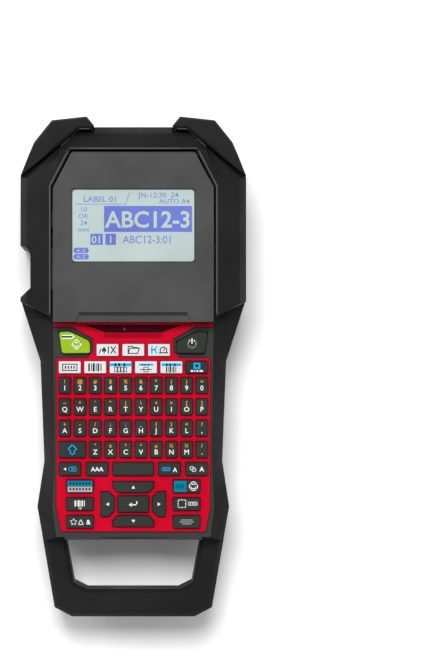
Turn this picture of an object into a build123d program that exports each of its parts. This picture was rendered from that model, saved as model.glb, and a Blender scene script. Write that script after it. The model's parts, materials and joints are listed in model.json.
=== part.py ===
"""Handheld label printer: display head, keyboard deck and carry handle, every piece its own solid.

Frame in millimetres: the printer lies on its back on z = 0, the display faces +Z, the head points to +Y,
and x = 0 is the middle. Y = 0 is half way between the ear tips and the end of the handle.
"""

import math
import os

from build123d import *

# --- driving sizes -----------------------------------------------------------------------------------------------
head_width = 131.2
waist_width = 104.4
head_length = 118.9  # from the ear tips to the cover's lower lip
deck_length = 127.3  # from the cover's lower lip to the end of the keyboard housing
handle_length = 45.8
foot_height = 1.2
split_z = 34.0  # rear case below, front case above
deck_z = 62.0
cover_z = 76.0
ear_z = 80.0

wall = 2.4
seam_gap = 0.3  # between pieces that are fitted side by side
running_gap = 0.05  # radial, between a shaft and its bore
cover_gap = 1.2  # the dark line around the display cover

# --- places along Y ----------------------------------------------------------------------------------------------
top_y = (head_length + deck_length + handle_length) / 2
bottom_y = -top_y
lip_y = top_y - head_length
deck_end_y = lip_y - deck_length

ear_rise = 5.5
case_top_y = top_y - ear_rise
head_corner_y = top_y - 34.5
head_low_y = lip_y + 11.9
head_step_y = lip_y + 2.8
waist_top_y = lip_y - 22.5
waist_low_y = deck_end_y + 46.3
hip_y = deck_end_y + 19.4

# --- places across X ---------------------------------------------------------------------------------------------
head_x = head_width / 2
waist_x = waist_width / 2
waist_top_x = waist_x + 2.3
hip_x = waist_x + 4.1
deck_end_x = waist_x + 0.7
top_middle_x = 22.5
ear_inner_x = top_middle_x + 1.8
ear_seam_x = top_middle_x + 8.9
ear_tip_x = top_middle_x + 4.5
ear_outer_x = head_x - 18.4
shoulder_x = head_x - 8.2
deck_rim = 6.2  # slope from the waist's side in to the deck
rim_x = waist_x - deck_rim
bezel_x = rim_x - 1.2

# --- cover and display -------------------------------------------------------------------------------------------
cover_thickness = 3.0
cover_x = head_x - 19.1
cover_top_x = cover_x - 10.9
cover_top_y = top_y - 20.2
cover_shoulder_y = cover_top_y - 20.9
hinge_r = 0.75
nose_r = cover_thickness / 2
hinge_y = cover_top_y - nose_r
hinge_z = cover_z - nose_r
hinge_end = 5.0  # how far the hinge pin reaches past the cover on each side
scoop_depth = 5.6
scoop_x = 31.2
scoop_flare = 2.7
window_width = 72.0
window_height = 42.9
window_top = 21.4  # from the cover's top edge to the window
window_y = cover_top_y - window_top - window_height / 2
window_corner = 1.5
window_depth = 1.2
display_margin = 2.6
display_thickness = 4.2
liner_x = cover_x - 4.4
liner_depth = 8.0
liner_wall = 1.6
liner_top_y = cover_top_y - 8.5
liner_low_y = lip_y + 5.0

# --- keyboard ----------------------------------------------------------------------------------------------------
bezel_rise = 1.4
bezel_bottom_z = deck_z - wall
bezel_z = deck_z + bezel_rise
bezel_ledge = 1.0
bezel_tongue = 3.2
band_x = rim_x + 0.4
band_height = 2.2
bezel_end_y = deck_end_y + 5.3
bezel_end_x = bezel_x - 2.9
bezel_taper_y = hip_y
key_rise = 2.4
key_z = bezel_z + key_rise
key_bottom_z = bezel_bottom_z + 0.2
key_travel = 1.2
key_gap = 0.35
key_web = 1.98
key_corner = 0.6
key_edge = 0.5
mat_gap = 0.2  # left under a key that is pressed home
mat_top_z = key_bottom_z - key_travel - mat_gap
mat_bottom_z = deck_z - 10.0
key_board_thickness = 1.6

columns = 10
key_field = 2 * bezel_x - 0.8
column_pitch = key_field / columns
key_width = column_pitch - key_web
row_step = 12.45
key_height = 9.4
small_height = 7.1
side_key_height = 7.4

icon_row_y = lip_y - 16.1
mode_row_y = lip_y - 26.2
digit_row_y = lip_y - 36.8
lower_row_y = digit_row_y - 3 * row_step - 11.35
side_row_y = lower_row_y - 10.1
side_row_step = 10.35
enter_y = side_row_y - side_row_step

# --- mechanism in the head ---------------------------------------------------------------------------------------
label_width = 24.0
label_thickness = 0.3
label_y = lip_y + 32.1  # the plane of the label strip
label_bottom_z = 33.0
chassis_z = 26.0
chassis_thickness = 1.5
chassis_post_x = 44.0
post_r = 3.5
peg_r = 2.0
board_z = 12.0
board_thickness = 1.6
gear_module = 0.8
gear_bottom_z = 18.5
gear_width = 5.0
platen_r = 5.0
platen_teeth = 20
idler_teeth = 30
pinion_teeth = 12
takeup_teeth = 24
platen_x = -40.0
platen_y = label_y - label_thickness - platen_r
takeup_x = -14.0
takeup_y = label_y + 14.5
shaft_r = 1.5
roll_r = 24.0
roll_core_r = 8.0
roll_hub_r = 7.7
roll_x = 20.0
roll_y = label_y + label_thickness + roll_r
supply_r = 9.0
supply_y = takeup_y + 24.0
takeup_r = 7.0
cartridge_wall = 1.4
cartridge_top_z = label_bottom_z + label_width + 4.0
mechanism_top_z = label_bottom_z + label_width + 3.0

# --- back of the printer -----------------------------------------------------------------------------------------
back_z = foot_height
battery_x = 38.0
battery_low_y = deck_end_y + 12.5
battery_high_y = lip_y - 35.4
battery_height = 26.0
door_thickness = 2.0
door_x = battery_x + 2.6
door_tongue = 1.2
battery_z = back_z + door_thickness + 1.0
door_frame = 4.2

notch_low_y = lip_y + 14.4
notch_high_y = notch_low_y + 29.9
notch_depth = 5.9
notch_floor_low_y = notch_low_y + 5.3
notch_floor_high_y = notch_high_y - 5.8
guide_margin = 2.0
slot_half = 2.5

handle_back_z = 17.0
handle_front_z = 49.0
handle_corner_x = waist_x - 5.8
handle_corner_y = bottom_y + 5.4
handle_end_x = handle_corner_x - 10.2
grip_top_x = deck_end_x - 13.2
grip_low_x = grip_top_x - 4.7
grip_end_x = grip_top_x - 12.6
grip_corner_y = bottom_y + 20.0
grip_end_y = bottom_y + 16.1
handle_bevel = 2.3
tab_x = (19.8, 40.0)
tab_width = 1.6
tab_set_back = 0.4

socket_z = 21.0
jack_y = lip_y + 62.0
jack_r = 5.0
usb_y = lip_y + 42.0
usb_width = 10.0
usb_height = 6.0

screw_r = 1.2
screw_head_r = 2.8
screw_length = 40.0
boss_r = 4.0


# --- shapes used by every piece ----------------------------------------------------------------------------------
def mirrored(right_half):
    """Close an outline that is the same on both sides, from its right half listed top to bottom."""
    return right_half + [(-x, y) for x, y in reversed(right_half)]


def flat_face(outline, height):
    """Lay a closed polygon on the plane z = height."""
    with BuildSketch(Plane.XY.offset(height)) as face:
        with BuildLine():
            Polyline(*outline, close=True)
        make_face()
    return face


def slab(outline, bottom, top, mode=Mode.ADD):
    """Add or cut an upright prism over a polygon."""
    extrude(flat_face(outline, bottom).sketch, amount=top - bottom, mode=mode)


def inset_slab(outline, inset, bottom, top, mode=Mode.SUBTRACT):
    """Cut or add a prism whose sides stand inside a polygon by a constant distance."""
    with BuildSketch(Plane.XY.offset(bottom)) as face:
        with BuildLine():
            Polyline(*outline, close=True)
        make_face()
        offset(amount=-inset, kind=Kind.INTERSECTION)
    extrude(face.sketch, amount=top - bottom, mode=mode)


def block(x_span, y_span, z_span, corner=0.0, mode=Mode.ADD):
    """Add or cut a box given by its spans, with rounded upright corners where asked."""
    centre = ((x_span[0] + x_span[1]) / 2, (y_span[0] + y_span[1]) / 2)
    with BuildSketch(Plane.XY.offset(z_span[0])) as face:
        with Locations(centre):
            if corner:
                RectangleRounded(x_span[1] - x_span[0], y_span[1] - y_span[0], corner)
            else:
                Rectangle(x_span[1] - x_span[0], y_span[1] - y_span[0])
    extrude(face.sketch, amount=z_span[1] - z_span[0], mode=mode)


def column(centres, radius, bottom, top, mode=Mode.ADD):
    """Add or cut upright round columns, one at each centre."""
    with BuildSketch(Plane.XY.offset(bottom)) as face:
        with Locations(*centres):
            Circle(radius)
    extrude(face.sketch, amount=top - bottom, mode=mode)


def tube(centre, outer, inner, bottom, top):
    """Add an upright tube."""
    with BuildSketch(Plane.XY.offset(bottom)) as face:
        with Locations(centre):
            Circle(outer)
            Circle(inner, mode=Mode.SUBTRACT)
    extrude(face.sketch, amount=top - bottom)


def loft_between(lower, lower_z, upper, upper_z, mode=Mode.ADD):
    """Add or cut the faceted body between two polygons that have the same number of corners."""
    loft(sections=[flat_face(lower, lower_z).sketch, flat_face(upper, upper_z).sketch], ruled=True, mode=mode)


def moved_in(outline, distance):
    """Move every side of a polygon inwards by one distance, or outwards where it is negative."""
    count = len(outline)
    area = sum(a[0] * b[1] - b[0] * a[1] for a, b in zip(outline, outline[1:] + outline[:1]))
    turn = math.copysign(1.0, area)
    moved = []
    for index, corner in enumerate(outline):
        before = Vector(*corner) - Vector(*outline[index - 1])
        after = Vector(*outline[(index + 1) % count]) - Vector(*corner)
        normals = [Vector(-side.Y, side.X).normalized() * turn for side in (before, after)]
        middle = (normals[0] + normals[1]).normalized()
        place = Vector(*corner) + middle * (distance / middle.dot(normals[0]))
        moved.append((place.X, place.Y))
    return moved


def handle_half(face_z):
    """Add one half of the carry handle, bevelled at its outer face, with the grip opening cut through."""
    bevel = math.copysign(handle_bevel, face_z - split_z)
    slab(handle_outline, split_z, face_z - bevel)
    loft_between(handle_outline, face_z - bevel, moved_in(handle_outline, handle_bevel), face_z)
    slab(grip_opening, split_z, face_z, mode=Mode.SUBTRACT)
    loft_between(grip_opening, face_z - bevel, moved_in(grip_opening, -handle_bevel), face_z, mode=Mode.SUBTRACT)


def both_sides(x, y):
    """Give a point and its mirror image."""
    return [(x, y), (-x, y)]


def save(part, label):
    """Label a finished piece and write it."""
    part.label = label
    export_step(part, f"parts/{label}.step")


os.makedirs("parts", exist_ok=True)

# --- outlines ----------------------------------------------------------------------------------------------------
head_half = [
    (top_middle_x, case_top_y),
    (ear_inner_x, case_top_y - 1.7),
    (ear_seam_x, case_top_y - 1.7),
    (head_x, head_corner_y),
    (head_x, head_low_y),
]
waist_half = [
    (waist_top_x, waist_top_y),
    (waist_x, waist_low_y),
    (hip_x, hip_y),
    (deck_end_x, deck_end_y),
]
body_outline = mirrored(head_half + waist_half)
step_x = cover_x + 0.4
head_outline = mirrored(head_half + [(step_x, head_step_y)])
deck_outer = mirrored([(head_x, head_low_y)] + waist_half)
deck_inner = mirrored(
    [
        (step_x, head_step_y),
        (rim_x + 0.6, waist_top_y),
        (rim_x, waist_low_y),
        (rim_x + 1.2, hip_y),
        (rim_x - 1.0, deck_end_y + 2.0),
    ]
)
head_mid = mirrored(
    [
        (top_middle_x, case_top_y - 4.0),
        (ear_inner_x, case_top_y - 5.2),
        (ear_seam_x + 5.0, case_top_y - 6.0),
        (head_x - 3.9, head_corner_y - 1.0),
        (head_x - 3.9, head_low_y - 1.6),
        (step_x, head_step_y),
    ]
)
head_rim = mirrored(
    [
        (top_middle_x, cover_top_y + 1.9),
        (ear_inner_x, cover_top_y + 1.9),
        (ear_seam_x + 11.0, cover_top_y + 0.9),
        (cover_x + 1.9, cover_shoulder_y + 0.4),
        (cover_x + 1.9, head_step_y + 2.0),
        (step_x + 0.7, head_step_y + 0.6),
    ]
)
cover_outline = mirrored([(cover_top_x, cover_top_y), (cover_x, cover_shoulder_y), (cover_x, lip_y)])
cover_scoop = mirrored([(scoop_x, lip_y + scoop_depth), (scoop_x + scoop_flare, lip_y)])
liner_outline = mirrored([(cover_top_x, liner_top_y), (liner_x, cover_shoulder_y), (liner_x, liner_low_y)])
cover_opening = mirrored(
    [
        (cover_top_x + 0.6, cover_top_y + cover_gap),
        (cover_x + cover_gap, cover_shoulder_y),
        (cover_x + cover_gap, lip_y),
    ]
)
bezel_neck_x = 23.3
bezel_shoulder_x = bezel_neck_x + 3.3
bezel_top_x = 35.9
bezel_tongue_x = bezel_top_x - 2.4
bezel_outline = mirrored(
    [
        (bezel_tongue_x, lip_y + bezel_tongue),
        (bezel_tongue_x, lip_y - seam_gap),
        (band_x, lip_y - seam_gap),
        (band_x, lip_y - seam_gap - band_height),
        (bezel_top_x, lip_y - seam_gap - band_height),
        (bezel_neck_x, lip_y - 9.5),
        (bezel_neck_x, lip_y - 16.7),
        (bezel_shoulder_x, lip_y - 20.9),
        (bezel_x, lip_y - 20.9),
        (bezel_x, bezel_taper_y),
        (bezel_end_x, bezel_end_y),
    ]
)
ear_outline = [
    (top_middle_x, case_top_y),
    (ear_tip_x, top_y),
    (ear_outer_x, top_y - 2.2),
    (shoulder_x, top_y - 14.9),
    (head_x, head_corner_y),
    (ear_seam_x, case_top_y - 1.7),
    (ear_inner_x, case_top_y - 1.7),
]
handle_outline = mirrored(
    [
        (deck_end_x + 0.8, deck_end_y + handle_bevel),
        (handle_corner_x, handle_corner_y),
        (handle_end_x, bottom_y),
    ]
)
grip_opening = mirrored(
    [
        (grip_top_x + 0.6, deck_end_y + handle_bevel),
        (grip_low_x, grip_corner_y),
        (grip_end_x, grip_end_y),
    ]
)

case_screws_at = (
    both_sides(head_x - 9.0, head_corner_y - 6.0)
    + both_sides(head_x - 11.0, lip_y + 8.0)
    + both_sides(waist_x - 4.6, deck_end_y + 8.0)
)
chassis_posts_at = both_sides(chassis_post_x, lip_y + 10.0) + both_sides(chassis_post_x, head_corner_y + 2.0)
foot_r = 4.0
foot_recess = 0.8
feet_at = both_sides(head_x - 9.0, head_corner_y - 18.0) + both_sides(waist_x - 4.6, hip_y + 8.0)


guide_inner_x = -head_x + notch_depth + wall
guide_low_y = notch_low_y - guide_margin
guide_high_y = notch_high_y + guide_margin


def cut_notch_outline(bottom, top):
    """Cut the outline of the label exit notch into the left side."""
    side = -head_x
    floor = side + notch_depth
    with BuildSketch(Plane.XY.offset(bottom)) as notch:
        with BuildLine():
            Polyline(
                (floor, notch_floor_high_y),
                (floor, notch_floor_low_y),
                (side, notch_low_y),
                (side - 5.0, notch_low_y),
                (side - 5.0, notch_high_y),
                (side, notch_high_y),
            )
            ThreePointArc(
                (side, notch_high_y),
                (side + notch_depth * 0.68, notch_high_y - 1.7),
                (floor, notch_floor_high_y),
            )
        make_face()
    extrude(notch.sketch, amount=top - bottom, mode=Mode.SUBTRACT)


def cut_notch(bottom, top):
    """Cut the label exit notch and the label's slot, leaving a wall behind the notch."""
    block((-head_x + 1.0, guide_inner_x), (notch_low_y - 1.0, notch_high_y + 1.0), (bottom, top))
    cut_notch_outline(bottom, top)
    block(
        (-head_x, guide_inner_x + 1.0),
        (label_y - slot_half, label_y + slot_half),
        (max(bottom, label_bottom_z - 1.5), min(top, mechanism_top_z)),
        mode=Mode.SUBTRACT,
    )


def rod(y, z, radius, x_span, mode=Mode.ADD):
    """Add or cut a round rod that lies along X."""
    with BuildSketch(Plane.YZ.offset(x_span[0])) as face:
        with Locations((y, z)):
            Circle(radius)
    extrude(face.sketch, amount=x_span[1] - x_span[0], mode=mode)


# --- rear case ---------------------------------------------------------------------------------------------------
well_wall = 1.6
door_end_y = battery_high_y + 1.8
with BuildPart() as rear_case:
    handle_half(handle_back_z)
    slab(body_outline, back_z, split_z)
    chamfer(rear_case.faces().sort_by(Axis.Z)[0].edges(), 3.0)
    inset_slab(body_outline, wall, back_z + wall, split_z)
    block((-door_x - 4.0, door_x + 4.0), (deck_end_y + 1.0, door_end_y + 3.0), (back_z + 1.0, back_z + door_frame))
    block(
        (-battery_x - seam_gap - well_wall, battery_x + seam_gap + well_wall),
        (battery_low_y - seam_gap - well_wall, battery_high_y + seam_gap + well_wall),
        (back_z + 1.0, battery_z + battery_height + well_wall),
    )
    block(
        (-battery_x - seam_gap, battery_x + seam_gap),
        (battery_low_y - seam_gap, battery_high_y + seam_gap),
        (back_z, battery_z + battery_height),
        mode=Mode.SUBTRACT,
    )
    block(
        (-door_x - seam_gap, door_x + seam_gap),
        (deck_end_y - 1.0, door_end_y + seam_gap),
        (back_z, back_z + door_thickness + 0.3),
        mode=Mode.SUBTRACT,
    )
    block(
        (-door_x - door_tongue - seam_gap, door_x + door_tongue + seam_gap),
        (deck_end_y - 1.0, door_end_y + seam_gap),
        (back_z + 0.9, back_z + door_thickness + 0.3),
        mode=Mode.SUBTRACT,
    )
    cut_notch(back_z, split_z)
    column(case_screws_at, boss_r, back_z + 1.0, split_z)
    column(case_screws_at, screw_head_r + 0.3, back_z, back_z + 2.5, mode=Mode.SUBTRACT)
    column(case_screws_at, screw_r, back_z, split_z, mode=Mode.SUBTRACT)
    column(chassis_posts_at, post_r, back_z + 1.0, board_z)
    column(chassis_posts_at, peg_r, board_z, chassis_z)
    column(feet_at, foot_r, back_z, back_z + foot_recess, mode=Mode.SUBTRACT)
    with BuildSketch(Plane.YZ.offset(head_x - 6.0)):
        with Locations((jack_y, socket_z)):
            Circle(jack_r + 0.2)
        with Locations((usb_y, socket_z)):
            RectangleRounded(usb_width + 0.4, usb_height + 0.4, 0.2)
    extrude(amount=10.0, mode=Mode.SUBTRACT)
save(rear_case.part, "rear_case")

# --- front case --------------------------------------------------------------------------------------------------
bevel_z = 54.0
head_side_z = 69.0
head_mid_z = 73.5
head_roof_z = 64.0
rim_bottom_z = cover_z - cover_thickness
mat_x = bezel_x - bezel_ledge
mat_outline = mirrored(
    [
        (mat_x, lip_y - 1.0),
        (mat_x, bezel_taper_y),
        (bezel_end_x - bezel_ledge, bezel_end_y + bezel_ledge),
    ]
)
print_outline = [
    (-bezel_x + 1.5, lip_y - 5.6),
    (-bezel_x + 7.8, lip_y - 5.4),
    (-bezel_neck_x - 2.1, lip_y - 11.0),
    (-bezel_neck_x - 1.8, lip_y - 17.9),
    (-bezel_x + 3.3, lip_y - 18.1),
]
power_outline = [(-x, y) for x, y in print_outline]
with BuildPart() as front_case:
    handle_half(handle_front_z)
    slab(body_outline, split_z, bevel_z)
    slab(head_outline, bevel_z, head_side_z)
    loft_between(deck_outer, bevel_z, deck_inner, deck_z)
    loft_between(head_outline, head_side_z, head_mid, head_mid_z)
    loft_between(head_mid, head_mid_z, head_rim, cover_z)
    inset_slab(body_outline, wall, split_z, mat_bottom_z)
    inset_slab(head_outline, wall, mat_bottom_z, head_roof_z)
    slab(cover_opening, head_roof_z, cover_z, mode=Mode.SUBTRACT)
    slab(mat_outline, mat_bottom_z, bezel_bottom_z, mode=Mode.SUBTRACT)
    inset_slab(bezel_outline, -seam_gap, bezel_bottom_z, cover_z)
    for corner_key in (print_outline, power_outline):
        inset_slab(corner_key, -key_gap, bezel_bottom_z, deck_z)
    block(
        (-head_x - 1.0, guide_inner_x + seam_gap),
        (guide_low_y - seam_gap, guide_high_y + seam_gap),
        (split_z, head_side_z),
        mode=Mode.SUBTRACT,
    )
    cut_notch_outline(head_side_z, cover_z)
    for side in (-1, 1):
        tab_span = sorted((side * tab_x[0], side * tab_x[1]))
        tab_low_y = deck_end_y + tab_set_back
        block(tab_span, (tab_low_y, tab_low_y + tab_width), (bevel_z, deck_z))
    column(case_screws_at[:4], boss_r, split_z, head_roof_z + 0.5)
    column(case_screws_at[4:], boss_r, split_z, mat_bottom_z + 0.5)
    column(case_screws_at, screw_r, split_z, back_z + screw_length + 4.0, mode=Mode.SUBTRACT)
    rod(hinge_y, hinge_z, hinge_r, (-cover_top_x - hinge_end, cover_top_x + hinge_end), mode=Mode.SUBTRACT)
save(front_case.part, "front_case")

with BuildPart() as exit_guide:
    block((-head_x, guide_inner_x), (guide_low_y, guide_high_y), (split_z, head_side_z - seam_gap))
    cut_notch(split_z, head_side_z)
save(exit_guide.part, "exit_guide")

# --- corner bumpers ----------------------------------------------------------------------------------------------
ear_back_z = 8.0
ear_bevel = 2.4
facet_fall = 6.0


def build_bumper(side):
    """Build the rubber bumper of one head corner; side is 1 on the right and -1 on the left."""
    outline = [(side * x, y) for x, y in ear_outline]
    with BuildPart() as bumper:
        slab(outline, ear_back_z + ear_bevel, ear_z - ear_bevel)
        loft_between(moved_in(outline, ear_bevel / 2), ear_back_z, outline, ear_back_z + ear_bevel)
        loft_between(outline, ear_z - ear_bevel, moved_in(outline, ear_bevel / 2), ear_z)
        crease_start = Vector(side * shoulder_x, top_y - 14.9, ear_z)
        crease_end = Vector(side * (ear_seam_x + 11.8), top_y - 18.1, ear_z)
        fallen_corner = Vector(side * head_x, head_corner_y, ear_z - facet_fall)
        normal = (crease_end - crease_start).cross(fallen_corner - crease_start)
        facet = Plane(crease_start, crease_end - crease_start, normal if normal.Z > 0 else -normal)
        split(bisect_by=facet, keep=Keep.BOTTOM)
    return bumper.part


save(build_bumper(-1), "left_bumper")
save(build_bumper(1), "right_bumper")

# --- keyboard ----------------------------------------------------------------------------------------------------
def column_at(index):
    """Give the middle of a character column, counted from the left."""
    return (index - (columns - 1) / 2) * column_pitch


def row_of(first, last, y):
    """Give the key centres of a character row from one column to another."""
    return [(column_at(index), y) for index in range(first, last + 1)]


mode_pitch = key_field / 6
wide_width = mode_pitch - key_web
side_width = column_pitch + key_width
shift_x = (column_at(0) + column_at(1)) / 2
second_row_y = digit_row_y - row_step
third_row_y = second_row_y - row_step
fourth_row_y = third_row_y - row_step
lower_outer_x = 2.5 * mode_pitch
lower_inner_x = lower_outer_x - wide_width - 3.1
lower_height = 7.6
space_width = 2 * (lower_inner_x - wide_width / 2 - 2.7)
side_x = lower_outer_x - 5.9
arrow_x = 15.0
arrow_width = 7.8
arrow_height = 14.5
flat_arrow_width = 24.1
flat_arrow_height = 6.5
arrow_bevel = 3.3
enter_width = 2 * (arrow_x - arrow_width / 2 - key_web)
arrow_step = key_height / 2 + key_web + flat_arrow_height / 2
side_rows = [side_row_y - index * side_row_step for index in range(3)]

plain_keys = {
    "icon_keys": ([(n * arrow_x, icon_row_y) for n in (-1, 0, 1)], wide_width, small_height),
    "mode_keys": ([((n - 2.5) * mode_pitch, mode_row_y) for n in range(6)], wide_width, small_height),
    "digit_keys": (row_of(0, 9, digit_row_y), key_width, key_height),
    "top_letter_keys": (row_of(0, 9, second_row_y), key_width, key_height),
    "middle_letter_keys": (row_of(0, 9, third_row_y), key_width, key_height),
    "bottom_letter_keys": (row_of(2, 9, fourth_row_y), key_width, key_height),
    "shift_key": ([(shift_x, fourth_row_y)], side_width, key_height),
    "space_key": ([(0, lower_row_y)], space_width, lower_height),
    "lower_function_keys": (
        both_sides(lower_outer_x, lower_row_y) + both_sides(lower_inner_x, lower_row_y),
        wide_width,
        lower_height,
    ),
    "left_side_keys": ([(-side_x, y) for y in side_rows], side_width, side_key_height),
    "right_side_keys": ([(side_x, y) for y in side_rows], side_width, side_key_height),
    "enter_key": ([(0, enter_y)], enter_width, key_height),
}


def flat_arrow(direction):
    """Outline the up or down arrow key; direction is 1 for up and -1 for down."""
    middle = enter_y + direction * arrow_step
    far = middle + direction * flat_arrow_height / 2
    near = middle - direction * flat_arrow_height / 2
    half = flat_arrow_width / 2
    return mirrored([(half, far), (half, near + direction * arrow_bevel), (half - arrow_bevel, near)])


def upright_arrow(side):
    """Outline the left or right arrow key; side is 1 on the right and -1 on the left."""
    near = side * (arrow_x - arrow_width / 2)
    far = side * (arrow_x + arrow_width / 2)
    half = arrow_height / 2
    return [
        (far, enter_y + half),
        (near + side * arrow_bevel, enter_y + half),
        (near, enter_y + half - arrow_bevel),
        (near, enter_y - half + arrow_bevel),
        (near + side * arrow_bevel, enter_y - half),
        (far, enter_y - half),
    ]


shaped_keys = {
    "up_key": flat_arrow(1),
    "down_key": flat_arrow(-1),
    "left_key": upright_arrow(-1),
    "right_key": upright_arrow(1),
    "print_key": print_outline,
    "power_key": power_outline,
}


def key_prisms(centres, width, height, grow, bottom, top, mode=Mode.ADD):
    """Add or cut a rounded prism at each key centre, larger than the key by grow on every side."""
    with BuildSketch(Plane.XY.offset(bottom)) as face:
        with Locations(*centres):
            RectangleRounded(width + 2 * grow, height + 2 * grow, key_corner + max(grow, 0))
    extrude(face.sketch, amount=top - bottom, mode=mode)


for key_name, (centres, width, height) in plain_keys.items():
    with BuildPart() as key:
        key_prisms(centres, width, height, 0, key_bottom_z, key_z)
        chamfer(key.faces().filter_by(Axis.Z).group_by(Axis.Z)[-1].edges(), key_edge)
    save(key.part, key_name)

for key_name, outline in shaped_keys.items():
    with BuildPart() as key:
        slab(outline, key_bottom_z, key_z)
        chamfer(key.faces().sort_by(Axis.Z)[-1].edges(), key_edge)
    save(key.part, key_name)

scoop_outline = mirrored([(bezel_top_x - 3.9, lip_y - 0.9), (bezel_neck_x - 6.1, lip_y - 9.8)])
scoop_inner = mirrored([(bezel_top_x - 6.9, lip_y - 1.2), (bezel_neck_x - 7.1, lip_y - 6.0)])
with BuildPart() as keyboard_bezel:
    slab(bezel_outline, bezel_bottom_z, bezel_z)
    slab(scoop_outline, bezel_z - 1.0, bezel_z, mode=Mode.SUBTRACT)
    slab(scoop_inner, bezel_z - 2.2, bezel_z, mode=Mode.SUBTRACT)
    for centres, width, height in plain_keys.values():
        key_prisms(centres, width, height, key_gap, bezel_bottom_z, bezel_z, mode=Mode.SUBTRACT)
    for outline in (flat_arrow(1), flat_arrow(-1), upright_arrow(-1), upright_arrow(1)):
        inset_slab(outline, -key_gap, bezel_bottom_z, bezel_z)
save(keyboard_bezel.part, "keyboard_bezel")

mat_sheet = 2.0
dome_inset = -0.9
with BuildPart() as key_mat:
    inset_slab(mat_outline, seam_gap, mat_bottom_z, mat_bottom_z + mat_sheet, mode=Mode.ADD)
    for centres, width, height in plain_keys.values():
        key_prisms(centres, width, height, dome_inset, mat_bottom_z + mat_sheet, mat_top_z)
    for outline in shaped_keys.values():
        inset_slab(outline, -dome_inset, mat_bottom_z + mat_sheet, mat_top_z, mode=Mode.ADD)
save(key_mat.part, "key_mat")

with BuildPart() as keypad_board:
    block(
        (-waist_x + wall + 2.2, waist_x - wall - 2.2),
        (bezel_end_y, lip_y - 1.0),
        (mat_bottom_z - key_board_thickness, mat_bottom_z),
        corner=2.0,
    )
    column(case_screws_at[4:], boss_r + seam_gap, split_z, mat_bottom_z, mode=Mode.SUBTRACT)
save(keypad_board.part, "keypad_board")

# --- display cover -----------------------------------------------------------------------------------------------
frame_x = window_width / 2
active_inset = 1.6
with BuildPart() as display_cover:
    with BuildSketch(Plane.YZ.offset(-cover_x)) as profile:
        with BuildLine():
            Polyline((hinge_y, cover_z), (lip_y, cover_z), (lip_y, rim_bottom_z), (hinge_y, rim_bottom_z))
            ThreePointArc((hinge_y, rim_bottom_z), (hinge_y + nose_r, hinge_z), (hinge_y, cover_z))
        make_face()
    extrude(profile.sketch, amount=2 * cover_x)
    slab(cover_outline, rim_bottom_z, cover_z, mode=Mode.INTERSECT)
    slab(cover_scoop, cover_z - 1.4, cover_z, mode=Mode.SUBTRACT)
    rod(hinge_y, hinge_z, hinge_r + running_gap, (-cover_x, cover_x), mode=Mode.SUBTRACT)
    block(
        (-frame_x - 0.1, frame_x + 0.1),
        (window_y - window_height / 2 - 0.1, window_y + window_height / 2 + 0.1),
        (cover_z - window_depth, cover_z),
        corner=window_corner,
        mode=Mode.SUBTRACT,
    )
    block(
        (-frame_x + active_inset, frame_x - active_inset),
        (window_y - window_height / 2 + active_inset, window_y + window_height / 2 - active_inset),
        (rim_bottom_z, cover_z),
        mode=Mode.SUBTRACT,
    )
save(display_cover.part, "display_cover")

with BuildPart() as display_window:
    block(
        (-frame_x, frame_x),
        (window_y - window_height / 2, window_y + window_height / 2),
        (cover_z - window_depth, cover_z - 0.1),
        corner=window_corner,
    )
save(display_window.part, "display_window")

module_x = frame_x + display_margin
module_half = window_height / 2 + display_margin
module_z = rim_bottom_z - display_thickness
with BuildPart() as display_module:
    block((-module_x, module_x), (window_y - module_half, window_y + module_half), (module_z, rim_bottom_z))
    block(
        (-module_x + 2.0, module_x - 2.0),
        (window_y - module_half - 6.0, window_y + module_half),
        (module_z - board_thickness, module_z),
    )
save(display_module.part, "display_module")

liner_z = rim_bottom_z - liner_depth
with BuildPart() as cover_liner:
    slab(liner_outline, liner_z, rim_bottom_z)
    inset_slab(liner_outline, liner_wall, liner_z + liner_wall, rim_bottom_z)
save(cover_liner.part, "cover_liner")

with BuildPart() as cover_hinge_pin:
    rod(hinge_y, hinge_z, hinge_r, (-cover_top_x - hinge_end, cover_top_x + hinge_end))
save(cover_hinge_pin.part, "cover_hinge_pin")

# --- gears -------------------------------------------------------------------------------------------------------
pressure_angle = math.radians(20)
tooth_fill = 0.42  # tooth thickness at the pitch circle as a share of the pitch, which leaves backlash
tip_height = 0.85
root_depth = 1.15


def pitch_radius(teeth):
    """Give the pitch radius of a gear."""
    return gear_module * teeth / 2


def tooth_half_angle(teeth, radius):
    """Give half the angle that an involute tooth fills at one radius."""
    pitch_r = pitch_radius(teeth)
    base_r = pitch_r * math.cos(pressure_angle)
    at_radius = math.acos(min(1.0, base_r / radius))
    involute = math.tan(at_radius) - at_radius
    at_pitch = math.tan(pressure_angle) - pressure_angle
    return math.pi * tooth_fill / teeth + at_pitch - involute


def add_gear(centre, teeth, turned, bottom, top, bore):
    """Add a spur gear; turned is the direction of one tooth in degrees."""
    pitch_r = pitch_radius(teeth)
    tip_r = pitch_r + tip_height * gear_module
    root_r = pitch_r - root_depth * gear_module
    flank = [root_r, (root_r + pitch_r) / 2, pitch_r, (pitch_r + tip_r) / 2, tip_r]
    corners = []
    for index in range(teeth):
        middle = math.radians(turned) + 2 * math.pi * index / teeth
        rising = [(radius, middle - tooth_half_angle(teeth, radius)) for radius in flank]
        falling = [(radius, middle + tooth_half_angle(teeth, radius)) for radius in reversed(flank)]
        for radius, angle in rising + falling:
            corners.append((centre[0] + radius * math.cos(angle), centre[1] + radius * math.sin(angle)))
    slab(corners, bottom, top)
    if bore:
        column([centre], bore, bottom, top, mode=Mode.SUBTRACT)


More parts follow.
